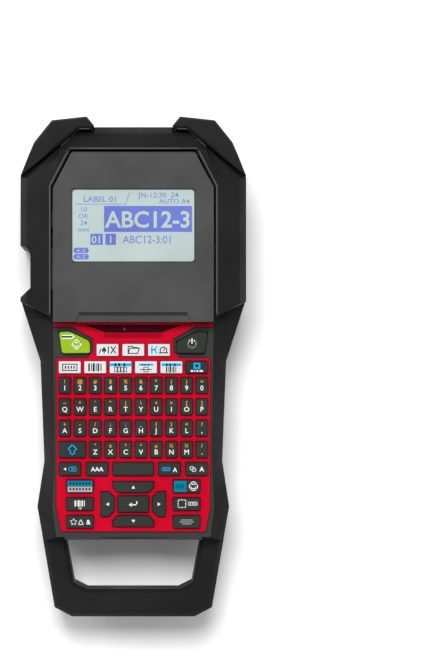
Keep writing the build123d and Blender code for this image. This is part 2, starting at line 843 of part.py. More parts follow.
def meshing_turn(first, first_teeth, first_turned, second, second_teeth):
    """Give the direction of one tooth of the second gear so that it meshes with the first."""
    towards = math.degrees(math.atan2(second[1] - first[1], second[0] - first[0]))
    first_step = 360 / first_teeth
    phase = ((towards - first_turned) / first_step) % 1.0
    return towards + 180 - ((0.5 - phase) % 1.0) * 360 / second_teeth


def placed_between(first, first_distance, second, second_distance):
    """Give the point at two distances from two centres, on the right of the line from first to second."""
    along = Vector(*second) - Vector(*first)
    reach = (first_distance**2 - second_distance**2 + along.length**2) / (2 * along.length)
    aside = math.sqrt(first_distance**2 - reach**2)
    place = Vector(*first) + along.normalized() * reach + Vector(along.Y, -along.X).normalized() * aside
    return (place.X, place.Y)


platen_at = (platen_x, platen_y)
takeup_at = (takeup_x, takeup_y)
idler_at = placed_between(
    platen_at,
    pitch_radius(platen_teeth) + pitch_radius(idler_teeth),
    takeup_at,
    pitch_radius(takeup_teeth) + pitch_radius(idler_teeth),
)
motor_angle = math.radians(-30)
motor_distance = pitch_radius(pinion_teeth) + pitch_radius(idler_teeth)
motor_at = (
    idler_at[0] + motor_distance * math.cos(motor_angle),
    idler_at[1] + motor_distance * math.sin(motor_angle),
)
gear_top_z = gear_bottom_z + gear_width
chassis_top_z = chassis_z + chassis_thickness
print(f"reduction gear at {idler_at[0]:.3f}, {idler_at[1]:.3f}; motor at {motor_at[0]:.3f}, {motor_at[1]:.3f}")

with BuildPart() as reduction_gear:
    add_gear(idler_at, idler_teeth, 0.0, gear_bottom_z, gear_top_z, shaft_r + running_gap)
save(reduction_gear.part, "reduction_gear")

idler_head = 1.4
with BuildPart() as reduction_gear_post:
    column([idler_at], shaft_r, gear_bottom_z - seam_gap - idler_head, chassis_top_z)
    column([idler_at], 2 * shaft_r, gear_bottom_z - seam_gap - idler_head, gear_bottom_z - seam_gap)
save(reduction_gear_post.part, "reduction_gear_post")

platen_turned = meshing_turn(idler_at, idler_teeth, 0.0, platen_at, platen_teeth)
with BuildPart() as platen_gear:
    add_gear(platen_at, platen_teeth, platen_turned, gear_bottom_z, gear_top_z, shaft_r)
save(platen_gear.part, "platen_gear")

takeup_turned = meshing_turn(idler_at, idler_teeth, 0.0, takeup_at, takeup_teeth)
spool_bottom_z = label_bottom_z - 1.0
spool_top_z = label_bottom_z + label_width + 1.0
with BuildPart() as takeup_gear:
    add_gear(takeup_at, takeup_teeth, takeup_turned, gear_bottom_z, gear_top_z, 0)
    column([takeup_at], shaft_r, gear_top_z, spool_top_z - 2.0)
save(takeup_gear.part, "takeup_gear")

pinion_turned = meshing_turn(idler_at, idler_teeth, 0.0, motor_at, pinion_teeth)
motor_r = 10.0
motor_length = 26.0
motor_shaft_r = 1.0
motor_shaft_grip = 4.0
with BuildPart() as motor_pinion:
    add_gear(motor_at, pinion_teeth, pinion_turned, gear_bottom_z, gear_top_z, 0)
    column([motor_at], motor_shaft_r, gear_top_z, chassis_top_z + motor_shaft_grip)
save(motor_pinion.part, "motor_pinion")

with BuildPart() as drive_motor:
    column([motor_at], motor_r, chassis_top_z, chassis_top_z + motor_length)
    column([motor_at], 4.0, chassis_top_z + motor_length, chassis_top_z + motor_length + 1.5)
    column(
        [motor_at],
        motor_shaft_r + running_gap,
        chassis_top_z,
        chassis_top_z + motor_shaft_grip + seam_gap,
        mode=Mode.SUBTRACT,
    )
save(drive_motor.part, "drive_motor")

# --- chassis and print mechanism ---------------------------------------------------------------------------------
chassis_x = 50.0
chassis_low_y = lip_y + 6.0
chassis_high_y = head_corner_y + 6.0
arm_at = (platen_x + 10.0, label_y + 9.0)
bracket_low_y = platen_y - 8.0
pillars_at = [(platen_x - 6.0, platen_y - 6.0), (platen_x + 11.0, platen_y - 6.0)]
label_gap = 0.1
with BuildPart() as chassis_plate:
    block((-chassis_x, chassis_x), (chassis_low_y, chassis_high_y), (chassis_z, chassis_top_z), corner=2.0)
    column([platen_at, takeup_at], shaft_r + running_gap, chassis_z, chassis_top_z, mode=Mode.SUBTRACT)
    column([idler_at, arm_at], shaft_r, chassis_z, chassis_top_z, mode=Mode.SUBTRACT)
    column([motor_at], motor_shaft_r + seam_gap, chassis_z, chassis_top_z, mode=Mode.SUBTRACT)
    column(case_screws_at[2:4], boss_r + seam_gap, chassis_z, chassis_top_z, mode=Mode.SUBTRACT)
save(chassis_plate.part, "chassis_plate")

with BuildPart() as main_board:
    block((-chassis_x, chassis_x), (chassis_low_y, chassis_high_y), (board_z, board_z + board_thickness))
    block((chassis_x, head_x - 6.0), (usb_y - 8.0, jack_y + 8.0), (board_z, board_z + board_thickness))
    column(chassis_posts_at, peg_r + seam_gap, board_z, board_z + board_thickness, mode=Mode.SUBTRACT)
save(main_board.part, "main_board")

with BuildPart() as platen_shaft:
    column([platen_at], shaft_r, gear_bottom_z, mechanism_top_z + 2.0)
save(platen_shaft.part, "platen_shaft")

with BuildPart() as platen_roller:
    tube(platen_at, platen_r, shaft_r, spool_bottom_z, spool_top_z)
save(platen_roller.part, "platen_roller")

with BuildPart() as roller_bracket:
    block(
        (platen_x - 8.0, platen_x + 13.0),
        (bracket_low_y, arm_at[1] + 3.0),
        (mechanism_top_z, mechanism_top_z + 1.2),
        corner=1.5,
    )
    column(pillars_at, 2.0, chassis_top_z, mechanism_top_z)
    column([platen_at], shaft_r + running_gap, mechanism_top_z, mechanism_top_z + 1.2, mode=Mode.SUBTRACT)
    column([arm_at], shaft_r, mechanism_top_z, mechanism_top_z + 1.2, mode=Mode.SUBTRACT)
save(roller_bracket.part, "roller_bracket")

with BuildPart() as head_arm_pin:
    column([arm_at], shaft_r, chassis_z, mechanism_top_z + 1.2)
save(head_arm_pin.part, "head_arm_pin")

arm_bottom_z = chassis_top_z + 2.0
arm_top_z = mechanism_top_z - 1.0
head_face_y = label_y + label_thickness / 2 + label_gap
arm_low_y = arm_at[1] - 2.5
with BuildPart() as head_arm:
    block((platen_x - 7.0, arm_at[0] + 2.5), (arm_low_y, arm_at[1] + 2.5), (arm_bottom_z, arm_top_z), corner=1.0)
    column([arm_at], shaft_r + running_gap, arm_bottom_z, arm_top_z, mode=Mode.SUBTRACT)
save(head_arm.part, "head_arm")

with BuildPart() as print_head:
    block((platen_x - 4.0, platen_x + 4.0), (head_face_y + 1.2, arm_low_y), (spool_bottom_z, spool_top_z))
    block((platen_x - 1.5, platen_x + 1.5), (head_face_y, head_face_y + 1.2), (spool_bottom_z, spool_top_z))
save(print_head.part, "print_head")

# --- cutter ------------------------------------------------------------------------------------------------------
cutter_x = -head_x + notch_depth + wall + seam_gap + 0.2
cutter_width = 7.0
blade_x = cutter_x + 3.4
blade_thickness = 0.8
blade_low_y = label_y + 3.2
blade_height = 8.0
blade_travel = 6.0
blade_low_z = label_bottom_z - 1.0
blade_high_z = label_bottom_z + label_width + 1.0
with BuildPart() as cutter_frame:
    block(
        (cutter_x, cutter_x + cutter_width),
        (label_y - 10.0, label_y + 14.0),
        (chassis_top_z, mechanism_top_z + 1.0),
    )
    block(
        (cutter_x, cutter_x + cutter_width),
        (label_y - slot_half, label_y + slot_half),
        (label_bottom_z - 1.5, mechanism_top_z),
        mode=Mode.SUBTRACT,
    )
    block(
        (blade_x - blade_thickness / 2 - seam_gap, blade_x + blade_thickness / 2 + seam_gap),
        (blade_low_y - blade_travel - 1.0, blade_low_y + blade_height + 1.0),
        (blade_low_z - seam_gap, blade_high_z + seam_gap),
        mode=Mode.SUBTRACT,
    )
save(cutter_frame.part, "cutter_frame")

with BuildPart() as cutter_blade:
    blade_outline = [
        (blade_x - blade_thickness / 2, blade_low_y + 2 * blade_thickness),
        (blade_x + blade_thickness / 4, blade_low_y),
        (blade_x + blade_thickness / 2, blade_low_y),
        (blade_x + blade_thickness / 2, blade_low_y + blade_height),
        (blade_x - blade_thickness / 2, blade_low_y + blade_height),
    ]
    slab(blade_outline, blade_low_z, blade_high_z)
save(cutter_blade.part, "cutter_blade")

cutter_motor_at = (platen_x - 6.0, label_y + 30.0)
with BuildPart() as cutter_motor:
    column([cutter_motor_at], 6.0, chassis_top_z, chassis_top_z + 20.0)
    column([cutter_motor_at], 1.0, chassis_top_z + 20.0, chassis_top_z + 26.0)
save(cutter_motor.part, "cutter_motor")

# --- cartridge ---------------------------------------------------------------------------------------------------
supply_at = (takeup_x, supply_y)
roll_at = (roll_x, roll_y)
cartridge_floor_z = chassis_top_z + cartridge_wall
cartridge_top_z = mechanism_top_z
cartridge_x = (takeup_x - 12.0, roll_x + roll_r + 3.0)
cartridge_y = (label_y - 3.0, roll_y + roll_r + 4.0)
supply_hub_r = 3.0
with BuildPart() as cartridge_case:
    block(cartridge_x, cartridge_y, (chassis_top_z, cartridge_top_z), corner=2.0)
    block(
        (cartridge_x[0] + cartridge_wall, cartridge_x[1] - cartridge_wall),
        (cartridge_y[0] + cartridge_wall, cartridge_y[1] - cartridge_wall),
        (cartridge_floor_z, cartridge_top_z),
        mode=Mode.SUBTRACT,
    )
    column([roll_at], roll_hub_r, cartridge_floor_z, cartridge_top_z - 1.0)
    column([roll_at], roll_hub_r - cartridge_wall, cartridge_floor_z, cartridge_top_z, mode=Mode.SUBTRACT)
    column([supply_at], supply_hub_r, cartridge_floor_z, cartridge_top_z - 1.0)
    column([takeup_at], 2 * shaft_r, chassis_top_z, cartridge_floor_z, mode=Mode.SUBTRACT)
    block(
        (cartridge_x[0] - 1.0, cartridge_x[0] + cartridge_wall + 1.0),
        (label_y - 1.0, label_y + 1.0),
        (label_bottom_z - 1.0, cartridge_top_z),
        mode=Mode.SUBTRACT,
    )
save(cartridge_case.part, "cartridge_case")

with BuildPart() as cartridge_lid:
    block(cartridge_x, cartridge_y, (cartridge_top_z, cartridge_top_z + cartridge_wall), corner=2.0)
    block(
        (roll_x - 14.0, roll_x + 14.0),
        (roll_y - 5.0, roll_y + 5.0),
        (cartridge_top_z, cartridge_top_z + cartridge_wall),
        corner=2.0,
        mode=Mode.SUBTRACT,
    )
save(cartridge_lid.part, "cartridge_lid")

with BuildPart() as label_roll:
    tube(roll_at, roll_r, roll_core_r, label_bottom_z, label_bottom_z + label_width)
save(label_roll.part, "label_roll")

with BuildPart() as label_strip:
    block(
        (cutter_x + cutter_width + 1.0, roll_x),
        (label_y - label_thickness / 2, label_y + label_thickness / 2),
        (label_bottom_z, label_bottom_z + label_width),
    )
save(label_strip.part, "label_strip")

with BuildPart() as ribbon_supply_spool:
    tube(supply_at, supply_r, supply_hub_r + seam_gap, spool_bottom_z, spool_top_z)
save(ribbon_supply_spool.part, "ribbon_supply_spool")

with BuildPart() as ribbon_takeup_spool:
    tube(takeup_at, takeup_r, shaft_r, spool_bottom_z, spool_top_z)
save(ribbon_takeup_spool.part, "ribbon_takeup_spool")

# --- power and sockets -------------------------------------------------------------------------------------------
with BuildPart() as battery_pack:
    block(
        (-battery_x, battery_x),
        (battery_low_y, battery_high_y),
        (battery_z, battery_z + battery_height - seam_gap),
        corner=2.0,
    )
save(battery_pack.part, "battery_pack")

door_z = back_z + 0.1
door_low_y = deck_end_y + 0.6
groove_pitch = 2.5
with BuildPart() as battery_door:
    block((-door_x, door_x), (door_low_y, door_end_y), (door_z, door_z + door_thickness))
    block(
        (-door_x - door_tongue, door_x + door_tongue),
        (door_low_y, door_end_y),
        (door_z + 1.0, door_z + door_thickness),
    )
    for index in range(4):
        groove_y = door_low_y + 6.0 + index * groove_pitch
        block((-12.0, 12.0), (groove_y, groove_y + 1.0), (door_z, door_z + 0.6), mode=Mode.SUBTRACT)
save(battery_door.part, "battery_door")

board_top_z = board_z + board_thickness
jack_bore_r = 2.8
jack_depth = 9.5
with BuildPart() as power_inlet:
    rod(jack_y, socket_z, jack_r, (chassis_x + 1.0, head_x - 0.2))
    block((chassis_x + 1.0, head_x - 7.0), (jack_y - 4.0, jack_y + 4.0), (board_top_z, socket_z))
    rod(jack_y, socket_z, jack_bore_r, (head_x - jack_depth, head_x), mode=Mode.SUBTRACT)
    rod(jack_y, socket_z, 1.0, (head_x - jack_depth, head_x - 1.5))
save(power_inlet.part, "power_inlet")

with BuildPart() as usb_port:
    block(
        (chassis_x + 3.0, head_x - 0.4),
        (usb_y - usb_width / 2, usb_y + usb_width / 2),
        (socket_z - usb_height / 2, socket_z + usb_height / 2),
    )
    block((chassis_x + 3.0, head_x - 7.0), (usb_y - 4.0, usb_y + 4.0), (board_top_z, socket_z))
    block(
        (head_x - 7.0, head_x),
        (usb_y - usb_width / 2 + 1.0, usb_y + usb_width / 2 - 1.0),
        (socket_z - usb_height / 2 + 1.0, socket_z + usb_height / 2 - 1.0),
        mode=Mode.SUBTRACT,
    )
    block((head_x - 7.5, head_x - 2.0), (usb_y - 2.5, usb_y + 2.5), (socket_z - 0.4, socket_z + 0.4))
save(usb_port.part, "usb_port")

# --- fasteners and feet ------------------------------------------------------------------------------------------
screw_head_depth = 2.0
with BuildPart() as case_screws:
    column(case_screws_at, screw_r, back_z + 2.5, back_z + screw_length)
    column(case_screws_at, screw_head_r, back_z + 2.5 - screw_head_depth, back_z + 2.5)
    for screw_x, screw_y in case_screws_at:
        block(
            (screw_x - 1.6, screw_x + 1.6),
            (screw_y - 0.4, screw_y + 0.4),
            (back_z + 2.5 - screw_head_depth, back_z + 3.3 - screw_head_depth),
            mode=Mode.SUBTRACT,
        )
save(case_screws.part, "case_screws")

with BuildPart() as rubber_feet:
    column(feet_at, foot_r, 0, back_z + foot_recess)
save(rubber_feet.part, "rubber_feet")
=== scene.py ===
"""Looks of a handheld label printer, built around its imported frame.

Lengths are metres in the frame's own axes: the printer lies on its back on z = 0, the display faces +Z and
the head points to +Y. Sizes that are easier to read in millimetres are written as a number times MM.
"""

import functools
import json
import logging
import math
from dataclasses import dataclass, field
from enum import Enum
from typing import Callable, Iterable, Sequence

import bmesh
import bpy
from mathutils import Matrix, Vector
from mathutils.bvhtree import BVHTree
from mathutils.geometry import convex_hull_2d


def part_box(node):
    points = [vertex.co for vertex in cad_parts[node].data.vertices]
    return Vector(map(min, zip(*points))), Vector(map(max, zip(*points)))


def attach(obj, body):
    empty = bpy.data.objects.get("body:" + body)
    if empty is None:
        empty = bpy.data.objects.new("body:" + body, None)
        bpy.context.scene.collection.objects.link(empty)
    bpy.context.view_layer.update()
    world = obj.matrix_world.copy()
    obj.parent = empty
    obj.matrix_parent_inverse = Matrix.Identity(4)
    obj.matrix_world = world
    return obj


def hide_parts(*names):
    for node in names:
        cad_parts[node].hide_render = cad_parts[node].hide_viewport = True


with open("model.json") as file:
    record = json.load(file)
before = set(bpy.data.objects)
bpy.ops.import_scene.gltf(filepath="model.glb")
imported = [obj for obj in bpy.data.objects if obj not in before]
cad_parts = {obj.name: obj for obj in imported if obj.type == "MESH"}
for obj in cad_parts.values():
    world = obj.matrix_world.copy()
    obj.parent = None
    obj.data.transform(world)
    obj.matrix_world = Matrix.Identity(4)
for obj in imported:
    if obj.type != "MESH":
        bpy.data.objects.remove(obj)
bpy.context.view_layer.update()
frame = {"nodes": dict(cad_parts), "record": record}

MM = 0.001
log = logging.getLogger("label_printer")

Point = tuple[float, float]
Colour = tuple[float, float, float]


def srgb(red: float, green: float, blue: float) -> Colour:
    """Turn a colour on the usual 0 to 255 scale into linear light.

    Args:
        red: Red, 0 to 255.
        green: Green, 0 to 255.
        blue: Blue, 0 to 255.

    Returns:
        The same colour in linear light, 0 to 1.
    """

    def linear(channel: float) -> float:
        """Undo the display curve of one channel."""
        value = channel / 255
        return value / 12.92 if value <= 0.04045 else ((value + 0.055) / 1.055) ** 2.4

    return linear(red), linear(green), linear(blue)


# --- shader effects that several finishes share ---------------------------------------------------
class Effect:
    """A shader node group that is built once and placed in many materials."""

    label = "effect"
    built: dict[str, bpy.types.ShaderNodeTree] = {}

    def __init__(self) -> None:
        """Start an empty group with its input and output nodes."""
        self.tree = bpy.data.node_groups.new(self.label, "ShaderNodeTree")
        self.entry = self.tree.nodes.new("NodeGroupInput")
        self.exit = self.tree.nodes.new("NodeGroupOutput")
        self.build()

    @classmethod
    def group(cls) -> bpy.types.ShaderNodeTree:
        """Give the group, building it the first time it is asked for.

        Returns:
            The effect's node tree.
        """
        if cls.label not in Effect.built:
            Effect.built[cls.label] = cls().tree
        return Effect.built[cls.label]

    def takes(self, name: str, kind: str, value: object) -> None:
        """Add a named input.

        Args:
            name: The input's name.
            kind: Its socket type, Float, Color or Vector.
            value: Its default.
        """
        socket = self.tree.interface.new_socket(name, in_out="INPUT", socket_type=f"NodeSocket{kind}")
        socket.default_value = value

    def gives(self, name: str, kind: str) -> None:
        """Add a named output of one socket type."""
        self.tree.interface.new_socket(name, in_out="OUTPUT", socket_type=f"NodeSocket{kind}")

    def add(self, kind: str, **settings: object) -> bpy.types.Node:
        """Add a node of one kind and set its properties.

        Args:
            kind: The node's type without its prefix.
            settings: Properties and their values.

        Returns:
            The new node.
        """
        node = self.tree.nodes.new(f"ShaderNode{kind}")
        for name, value in settings.items():
            setattr(node, name, value)
        return node

    def link(self, source: bpy.types.NodeSocket, target: bpy.types.NodeSocket) -> None:
        """Join two sockets."""
        self.tree.links.new(source, target)

    def math(self, operation: str, first: object, second: object = 0.0) -> bpy.types.NodeSocket:
        """Add a maths node.

        Args:
            operation: The operation's name.
            first: A socket or a number.
            second: A socket or a number.

        Returns:
            The node's value socket.
        """
        node = self.add("Math", operation=operation)
        for index, value in enumerate((first, second)):
            if isinstance(value, bpy.types.NodeSocket):
                self.link(value, node.inputs[index])
            else:
                node.inputs[index].default_value = value
        return node.outputs[0]

    def clipped(self, value: bpy.types.NodeSocket) -> bpy.types.NodeSocket:
        """Give a value kept between 0 and 1."""
        return self.math("MINIMUM", self.math("MAXIMUM", value, 0.0), 1.0)

    def noise(
        self, scale: object, detail: float, stretch: tuple[float, float, float] = (1, 1, 1)
    ) -> bpy.types.NodeSocket:
        """Add a noise texture in object space.

        Args:
            scale: The noise's scale, a socket or a number.
            detail: How many finer layers it has.
            stretch: How much each axis is scaled first.

        Returns:
            The noise value socket.
        """
        place = self.add("TexCoord")
        spread = self.add("Mapping")
        spread.inputs["Scale"].default_value = stretch
        self.link(place.outputs["Object"], spread.inputs["Vector"])
        texture = self.add("TexNoise")
        self.link(spread.outputs[0], texture.inputs["Vector"])
        texture.inputs["Detail"].default_value = detail
        if isinstance(scale, bpy.types.NodeSocket):
            self.link(scale, texture.inputs["Scale"])
        else:
            texture.inputs["Scale"].default_value = scale
        return texture.outputs["Fac"]

    def build(self) -> None:
        """Fill the group; each effect has its own."""
        raise NotImplementedError


class MouldGrain(Effect):
    """The fine spark-eroded texture of a mould."""

    label = "mould_grain"

    def build(self) -> None:
        """Layer two sizes of noise."""
        self.takes("Scale", "Float", 1800.0)
        self.gives("Height", "Float")
        fine = self.noise(self.entry.outputs["Scale"], 2.0)
        half_scale = self.math("MULTIPLY", self.entry.outputs["Scale"], 0.31)
        broad = self.noise(half_scale, 3.0)
        both = self.math("ADD", self.math("MULTIPLY", fine, 0.65), self.math("MULTIPLY", broad, 0.35))
        self.link(both, self.exit.inputs["Height"])


class Mottle(Effect):
    """Slow drift between two colours, as handling and moulding leave it."""

    label = "mottle"

    def build(self) -> None:
        """Mix the two colours by a broad noise."""
        self.takes("Colour", "Color", (0.5, 0.5, 0.5, 1))
        self.takes("Other", "Color", (0.4, 0.4, 0.4, 1))
        self.takes("Scale", "Float", 40.0)
        self.gives("Colour", "Color")
        self.gives("Drift", "Float")
        drift = self.noise(self.entry.outputs["Scale"], 4.0)
        spread = self.math("MULTIPLY", self.math("SUBTRACT", drift, 0.35), 3.0)
        share = self.clipped(spread)
        mix = self.add("Mix", data_type="RGBA")
        self.link(share, mix.inputs["Factor"])
        self.link(self.entry.outputs["Colour"], mix.inputs["A"])
        self.link(self.entry.outputs["Other"], mix.inputs["B"])
        self.link(mix.outputs["Result"], self.exit.inputs["Colour"])
        self.link(share, self.exit.inputs["Drift"])


class EdgeWearAndLight(Effect):
    """A mask that is 1 on outer edges, broken up by noise: rubbed edges on most finishes, painted shade round
    the dark keys' rims, and rubbing with a painted highlight on the red bezel's ridges.
    """

    label = "edge_wear_and_light_mask"

    def build(self) -> None:
        """Compare the true normal with one smoothed over a small radius."""
        self.takes("Radius", "Float", 0.0008)
        self.takes("Amount", "Float", 0.5)
        self.gives("Mask", "Float")
        bevel = self.add("Bevel", samples=4)
        self.link(self.entry.outputs["Radius"], bevel.inputs["Radius"])
        geometry = self.add("NewGeometry")
        dot = self.add("VectorMath", operation="DOT_PRODUCT")
        self.link(bevel.outputs[0], dot.inputs[0])
        self.link(geometry.outputs["Normal"], dot.inputs[1])
        turned = self.math("MULTIPLY", self.math("SUBTRACT", 1.0, dot.outputs["Value"]), 7.0)
        broken = self.math("MULTIPLY", turned, self.noise(420.0, 3.0))
        scaled = self.math("MULTIPLY", broken, self.entry.outputs["Amount"])
        self.link(self.clipped(scaled), self.exit.inputs["Mask"])


class Dust(Effect):
    """A faint mask of dust on faces that look up."""

    label = "dust"

    def build(self) -> None:
        """Take fine noise where the normal points up."""
        self.takes("Amount", "Float", 0.1)
        self.gives("Mask", "Float")
        geometry = self.add("NewGeometry")
        parts = self.add("SeparateXYZ")
        self.link(geometry.outputs["Normal"], parts.inputs[0])
        up = self.math("MAXIMUM", parts.outputs["Z"], 0.0)
        specks = self.math("POWER", self.noise(900.0, 5.0), 3.0)
        self.link(
            self.math("MULTIPLY", self.math("MULTIPLY", up, specks), self.entry.outputs["Amount"]),
            self.exit.inputs["Mask"],
        )


class Level(Effect):
    """A mask that is 1 on faces that look straight up between two heights."""

    label = "level"

    def build(self) -> None:
        """Compare the height and the normal with their limits."""
        self.takes("Low", "Float", 0.0)
        self.takes("High", "Float", 1.0)
        self.gives("Mask", "Float")
        geometry = self.add("NewGeometry")
        place = self.add("SeparateXYZ")
        self.link(geometry.outputs["Position"], place.inputs[0])
        facing = self.add("SeparateXYZ")
        self.link(geometry.outputs["True Normal"], facing.inputs[0])
        above = self.math("GREATER_THAN", place.outputs["Z"], self.entry.outputs["Low"])
        below = self.math("LESS_THAN", place.outputs["Z"], self.entry.outputs["High"])
        upward = self.math("GREATER_THAN", facing.outputs["Z"], 0.97)
        both = self.math("MULTIPLY", above, below)
        self.link(self.math("MULTIPLY", both, upward), self.exit.inputs["Mask"])


class Streaks(Effect):
    """Long fine streaks of brushed or ground metal."""

    label = "streaks"

    def build(self) -> None:
        """Stretch noise along one axis."""
        self.takes("Scale", "Float", 400.0)
        self.gives("Height", "Float")
        streaks = self.noise(self.entry.outputs["Scale"], 3.0, (0.04, 1.0, 1.0))
        self.link(streaks, self.exit.inputs["Height"])


class Relief(Enum):
    """Which effect a finish takes its small relief from."""

    GRAIN = MouldGrain
    STREAKS = Streaks


@dataclass(frozen=True)
class Finish:
    """One material: what it is made of, how rough it is, and the colour its edges take from rubbing and from
    painted light or shade.

    Attributes:
        name: The material's name.
        colour: Main colour in linear light.
        other: The colour that it drifts towards.
        roughness: Middle roughness.
        spread: How far the roughness varies over the surface.
        metallic: 1 for bare metal.
        coat: Weight of a clear coat.
        relief: Which effect gives the small relief.
        relief_scale: Scale of the relief.
        relief_depth: Strength of the relief's bump.
        edge_wear_and_light_colour: Colour laid on the edges: rubbed edges on most finishes, painted shade on
            the dark keys' rims, rubbing with a painted highlight on the red bezel.
        edge_wear_and_light: How strongly the edges take that colour.
        dust: How much dust lies on faces that look up.
        clear: Transmission weight, for windows.
        specular: Specular level.
        rounding: Radius over which the shading softens an edge.
        alpha: How much of the surface covers what lies behind it.
        level: Colour of the faces that look straight up between the two heights, if they differ.
        level_low: The lower height.
        level_high: The upper height.
    """

    name: str
    colour: Colour
    other: Colour
    roughness: float = 0.5
    spread: float = 0.1
    metallic: float = 0.0
    coat: float = 0.0
    relief: Relief = Relief.GRAIN
    relief_scale: float = 1800.0
    relief_depth: float = 0.1
    edge_wear_and_light_colour: Colour = (0.2, 0.2, 0.2)
    edge_wear_and_light: float = 0.25
    dust: float = 0.08
    clear: float = 0.0
    specular: float = 0.5
    rounding: float = 0.0003
    alpha: float = 1.0
    level: Colour | None = None
    level_low: float = 0.0
    level_high: float = 1.0

    def material(self) -> bpy.types.Material:
        """Give the material, building it the first time it is asked for.

        Returns:
            The finish's material.
        """
        title = f"{self.name}_finish"
        made = bpy.data.materials.get(title)
        if made:
            return made
        made = bpy.data.materials.new(title)
        made.use_nodes = True
        tree = made.node_tree
        shader = tree.nodes["Principled BSDF"]
        shader.inputs["Metallic"].default_value = self.metallic
        shader.inputs["Coat Weight"].default_value = self.coat
        shader.inputs["Transmission Weight"].default_value = self.clear
        shader.inputs["Specular IOR Level"].default_value = self.specular
        shader.inputs["Alpha"].default_value = self.alpha
        self._dress(tree, shader)
        return made

    def _place(self, tree: bpy.types.NodeTree, effect: type[Effect], **values: object) -> bpy.types.Node:
        """Place an effect in the material and set its inputs.

        Args:
            tree: The material's node tree.
            effect: The effect.
            values: The inputs and their values.

        Returns:
            The group node.
        """
        node = tree.nodes.new("ShaderNodeGroup")
        node.node_tree = effect.group()
        for name, value in values.items():
            node.inputs[name].default_value = value
        return node

    def _blend(
        self, tree: bpy.types.NodeTree, below: bpy.types.NodeSocket, above: Colour, mask: bpy.types.NodeSocket
    ) -> bpy.types.NodeSocket:
        """Lay one colour over another through a mask, and give the result.

        Args:
            tree: The material's node tree.
            below: The colour that is covered.
            above: The colour that is laid on.
            mask: Where it is laid on.

        Returns:
            The mixed colour.
        """
        mix = tree.nodes.new("ShaderNodeMix")
        mix.data_type = "RGBA"
        mix.inputs["B"].default_value = (*above, 1)
        tree.links.new(below, mix.inputs["A"])
        tree.links.new(mask, mix.inputs["Factor"])
        return mix.outputs["Result"]

    def _dress(self, tree: bpy.types.NodeTree, shader: bpy.types.Node) -> None:
        """Link the effects to the shader's colour, roughness and normal.

        Args:
            tree: The material's node tree.
            shader: Its shader.
        """
        mottle = self._place(tree, Mottle, Colour=(*self.colour, 1), Other=(*self.other, 1))
        colour = mottle.outputs["Colour"]
        if self.level:
            level = self._place(tree, Level, Low=self.level_low, High=self.level_high)
            colour = self._blend(tree, colour, self.level, level.outputs["Mask"])
        # Edges take a colour of their own: rubbing on most finishes, a painted shade on the dark keys' rims,
        # and rubbing with a painted highlight on the red bezel's ridges.
        if self.edge_wear_and_light:
            edge_wear_and_light = self._place(tree, EdgeWearAndLight, Amount=self.edge_wear_and_light)
            colour = self._blend(tree, colour, self.edge_wear_and_light_colour, edge_wear_and_light.outputs["Mask"])
        if self.dust:
            dust = self._place(tree, Dust, Amount=self.dust)
            colour = self._blend(tree, colour, srgb(170, 165, 155), dust.outputs["Mask"])
        tree.links.new(colour, shader.inputs["Base Color"])
        relief = self._place(tree, self.relief.value, Scale=self.relief_scale)
        rough = tree.nodes.new("ShaderNodeMapRange")
        rough.inputs["To Min"].default_value = self.roughness - self.spread
        rough.inputs["To Max"].default_value = self.roughness + self.spread
        tree.links.new(mottle.outputs["Drift"], rough.inputs["Value"])
        tree.links.new(rough.outputs["Result"], shader.inputs["Roughness"])
        bump = tree.nodes.new("ShaderNodeBump")
        bump.inputs["Strength"].default_value = self.relief_depth
        bump.inputs["Distance"].default_value = 0.05 * MM
        tree.links.new(relief.outputs["Height"], bump.inputs["Height"])
        if self.rounding:
            bevel = tree.nodes.new("ShaderNodeBevel")
            bevel.samples = 4
            bevel.inputs["Radius"].default_value = self.rounding
            tree.links.new(bevel.outputs[0], bump.inputs["Normal"])
        tree.links.new(bump.outputs["Normal"], shader.inputs["Normal"])


# --- finishes -------------------------------------------------------------------------------------
CASE_PLASTIC = Finish(
    "case_plastic", srgb(29, 29, 29), srgb(24, 24, 24), roughness=0.5, spread=0.05, relief_depth=0.35,
    edge_wear_and_light_colour=srgb(66, 65, 65), edge_wear_and_light=0.25, dust=0.0, rounding=0.0005, specular=0.12, level=srgb(52, 54, 52),
    level_low=61.5 * MM, level_high=62.5 * MM,
)
BUMPER_RUBBER = Finish(
    "bumper_rubber", srgb(32, 32, 32), srgb(27, 27, 27), roughness=0.6, spread=0.06, relief_scale=1500,
    relief_depth=0.5, edge_wear_and_light_colour=srgb(64, 64, 63), edge_wear_and_light=0.2, dust=0.0, rounding=0.0006, specular=0.12,
)
COVER_PLASTIC = Finish(
    "cover_plastic", srgb(68, 68, 68), srgb(60, 60, 60), roughness=0.42, spread=0.05, relief_depth=0.2,
    edge_wear_and_light_colour=srgb(112, 111, 110), edge_wear_and_light=0.2, dust=0.0, rounding=0.0005, specular=0.14,
)
INNER_PLASTIC = Finish("inner_plastic", srgb(45, 45, 46), srgb(38, 38, 39), roughness=0.55, edge_wear_and_light=0.1)
# The red bezel's brighter red edges are rubbing together with a painted highlight along the ridges between
# the keys.
BEZEL_RED = Finish(
    "bezel_red", srgb(184, 0, 35), srgb(172, 0, 30), roughness=0.36, spread=0.05, relief_depth=0.08,
    edge_wear_and_light_colour=srgb(236, 30, 70), edge_wear_and_light=0.35, dust=0.0, rounding=0.0004, specular=0.1,
)
LIGHT_KEY = Finish(
    "light_key", srgb(194, 196, 196), srgb(187, 189, 190), roughness=0.4, relief_depth=0.05, edge_wear_and_light=0.0,
    dust=0.0, specular=0.15,
)
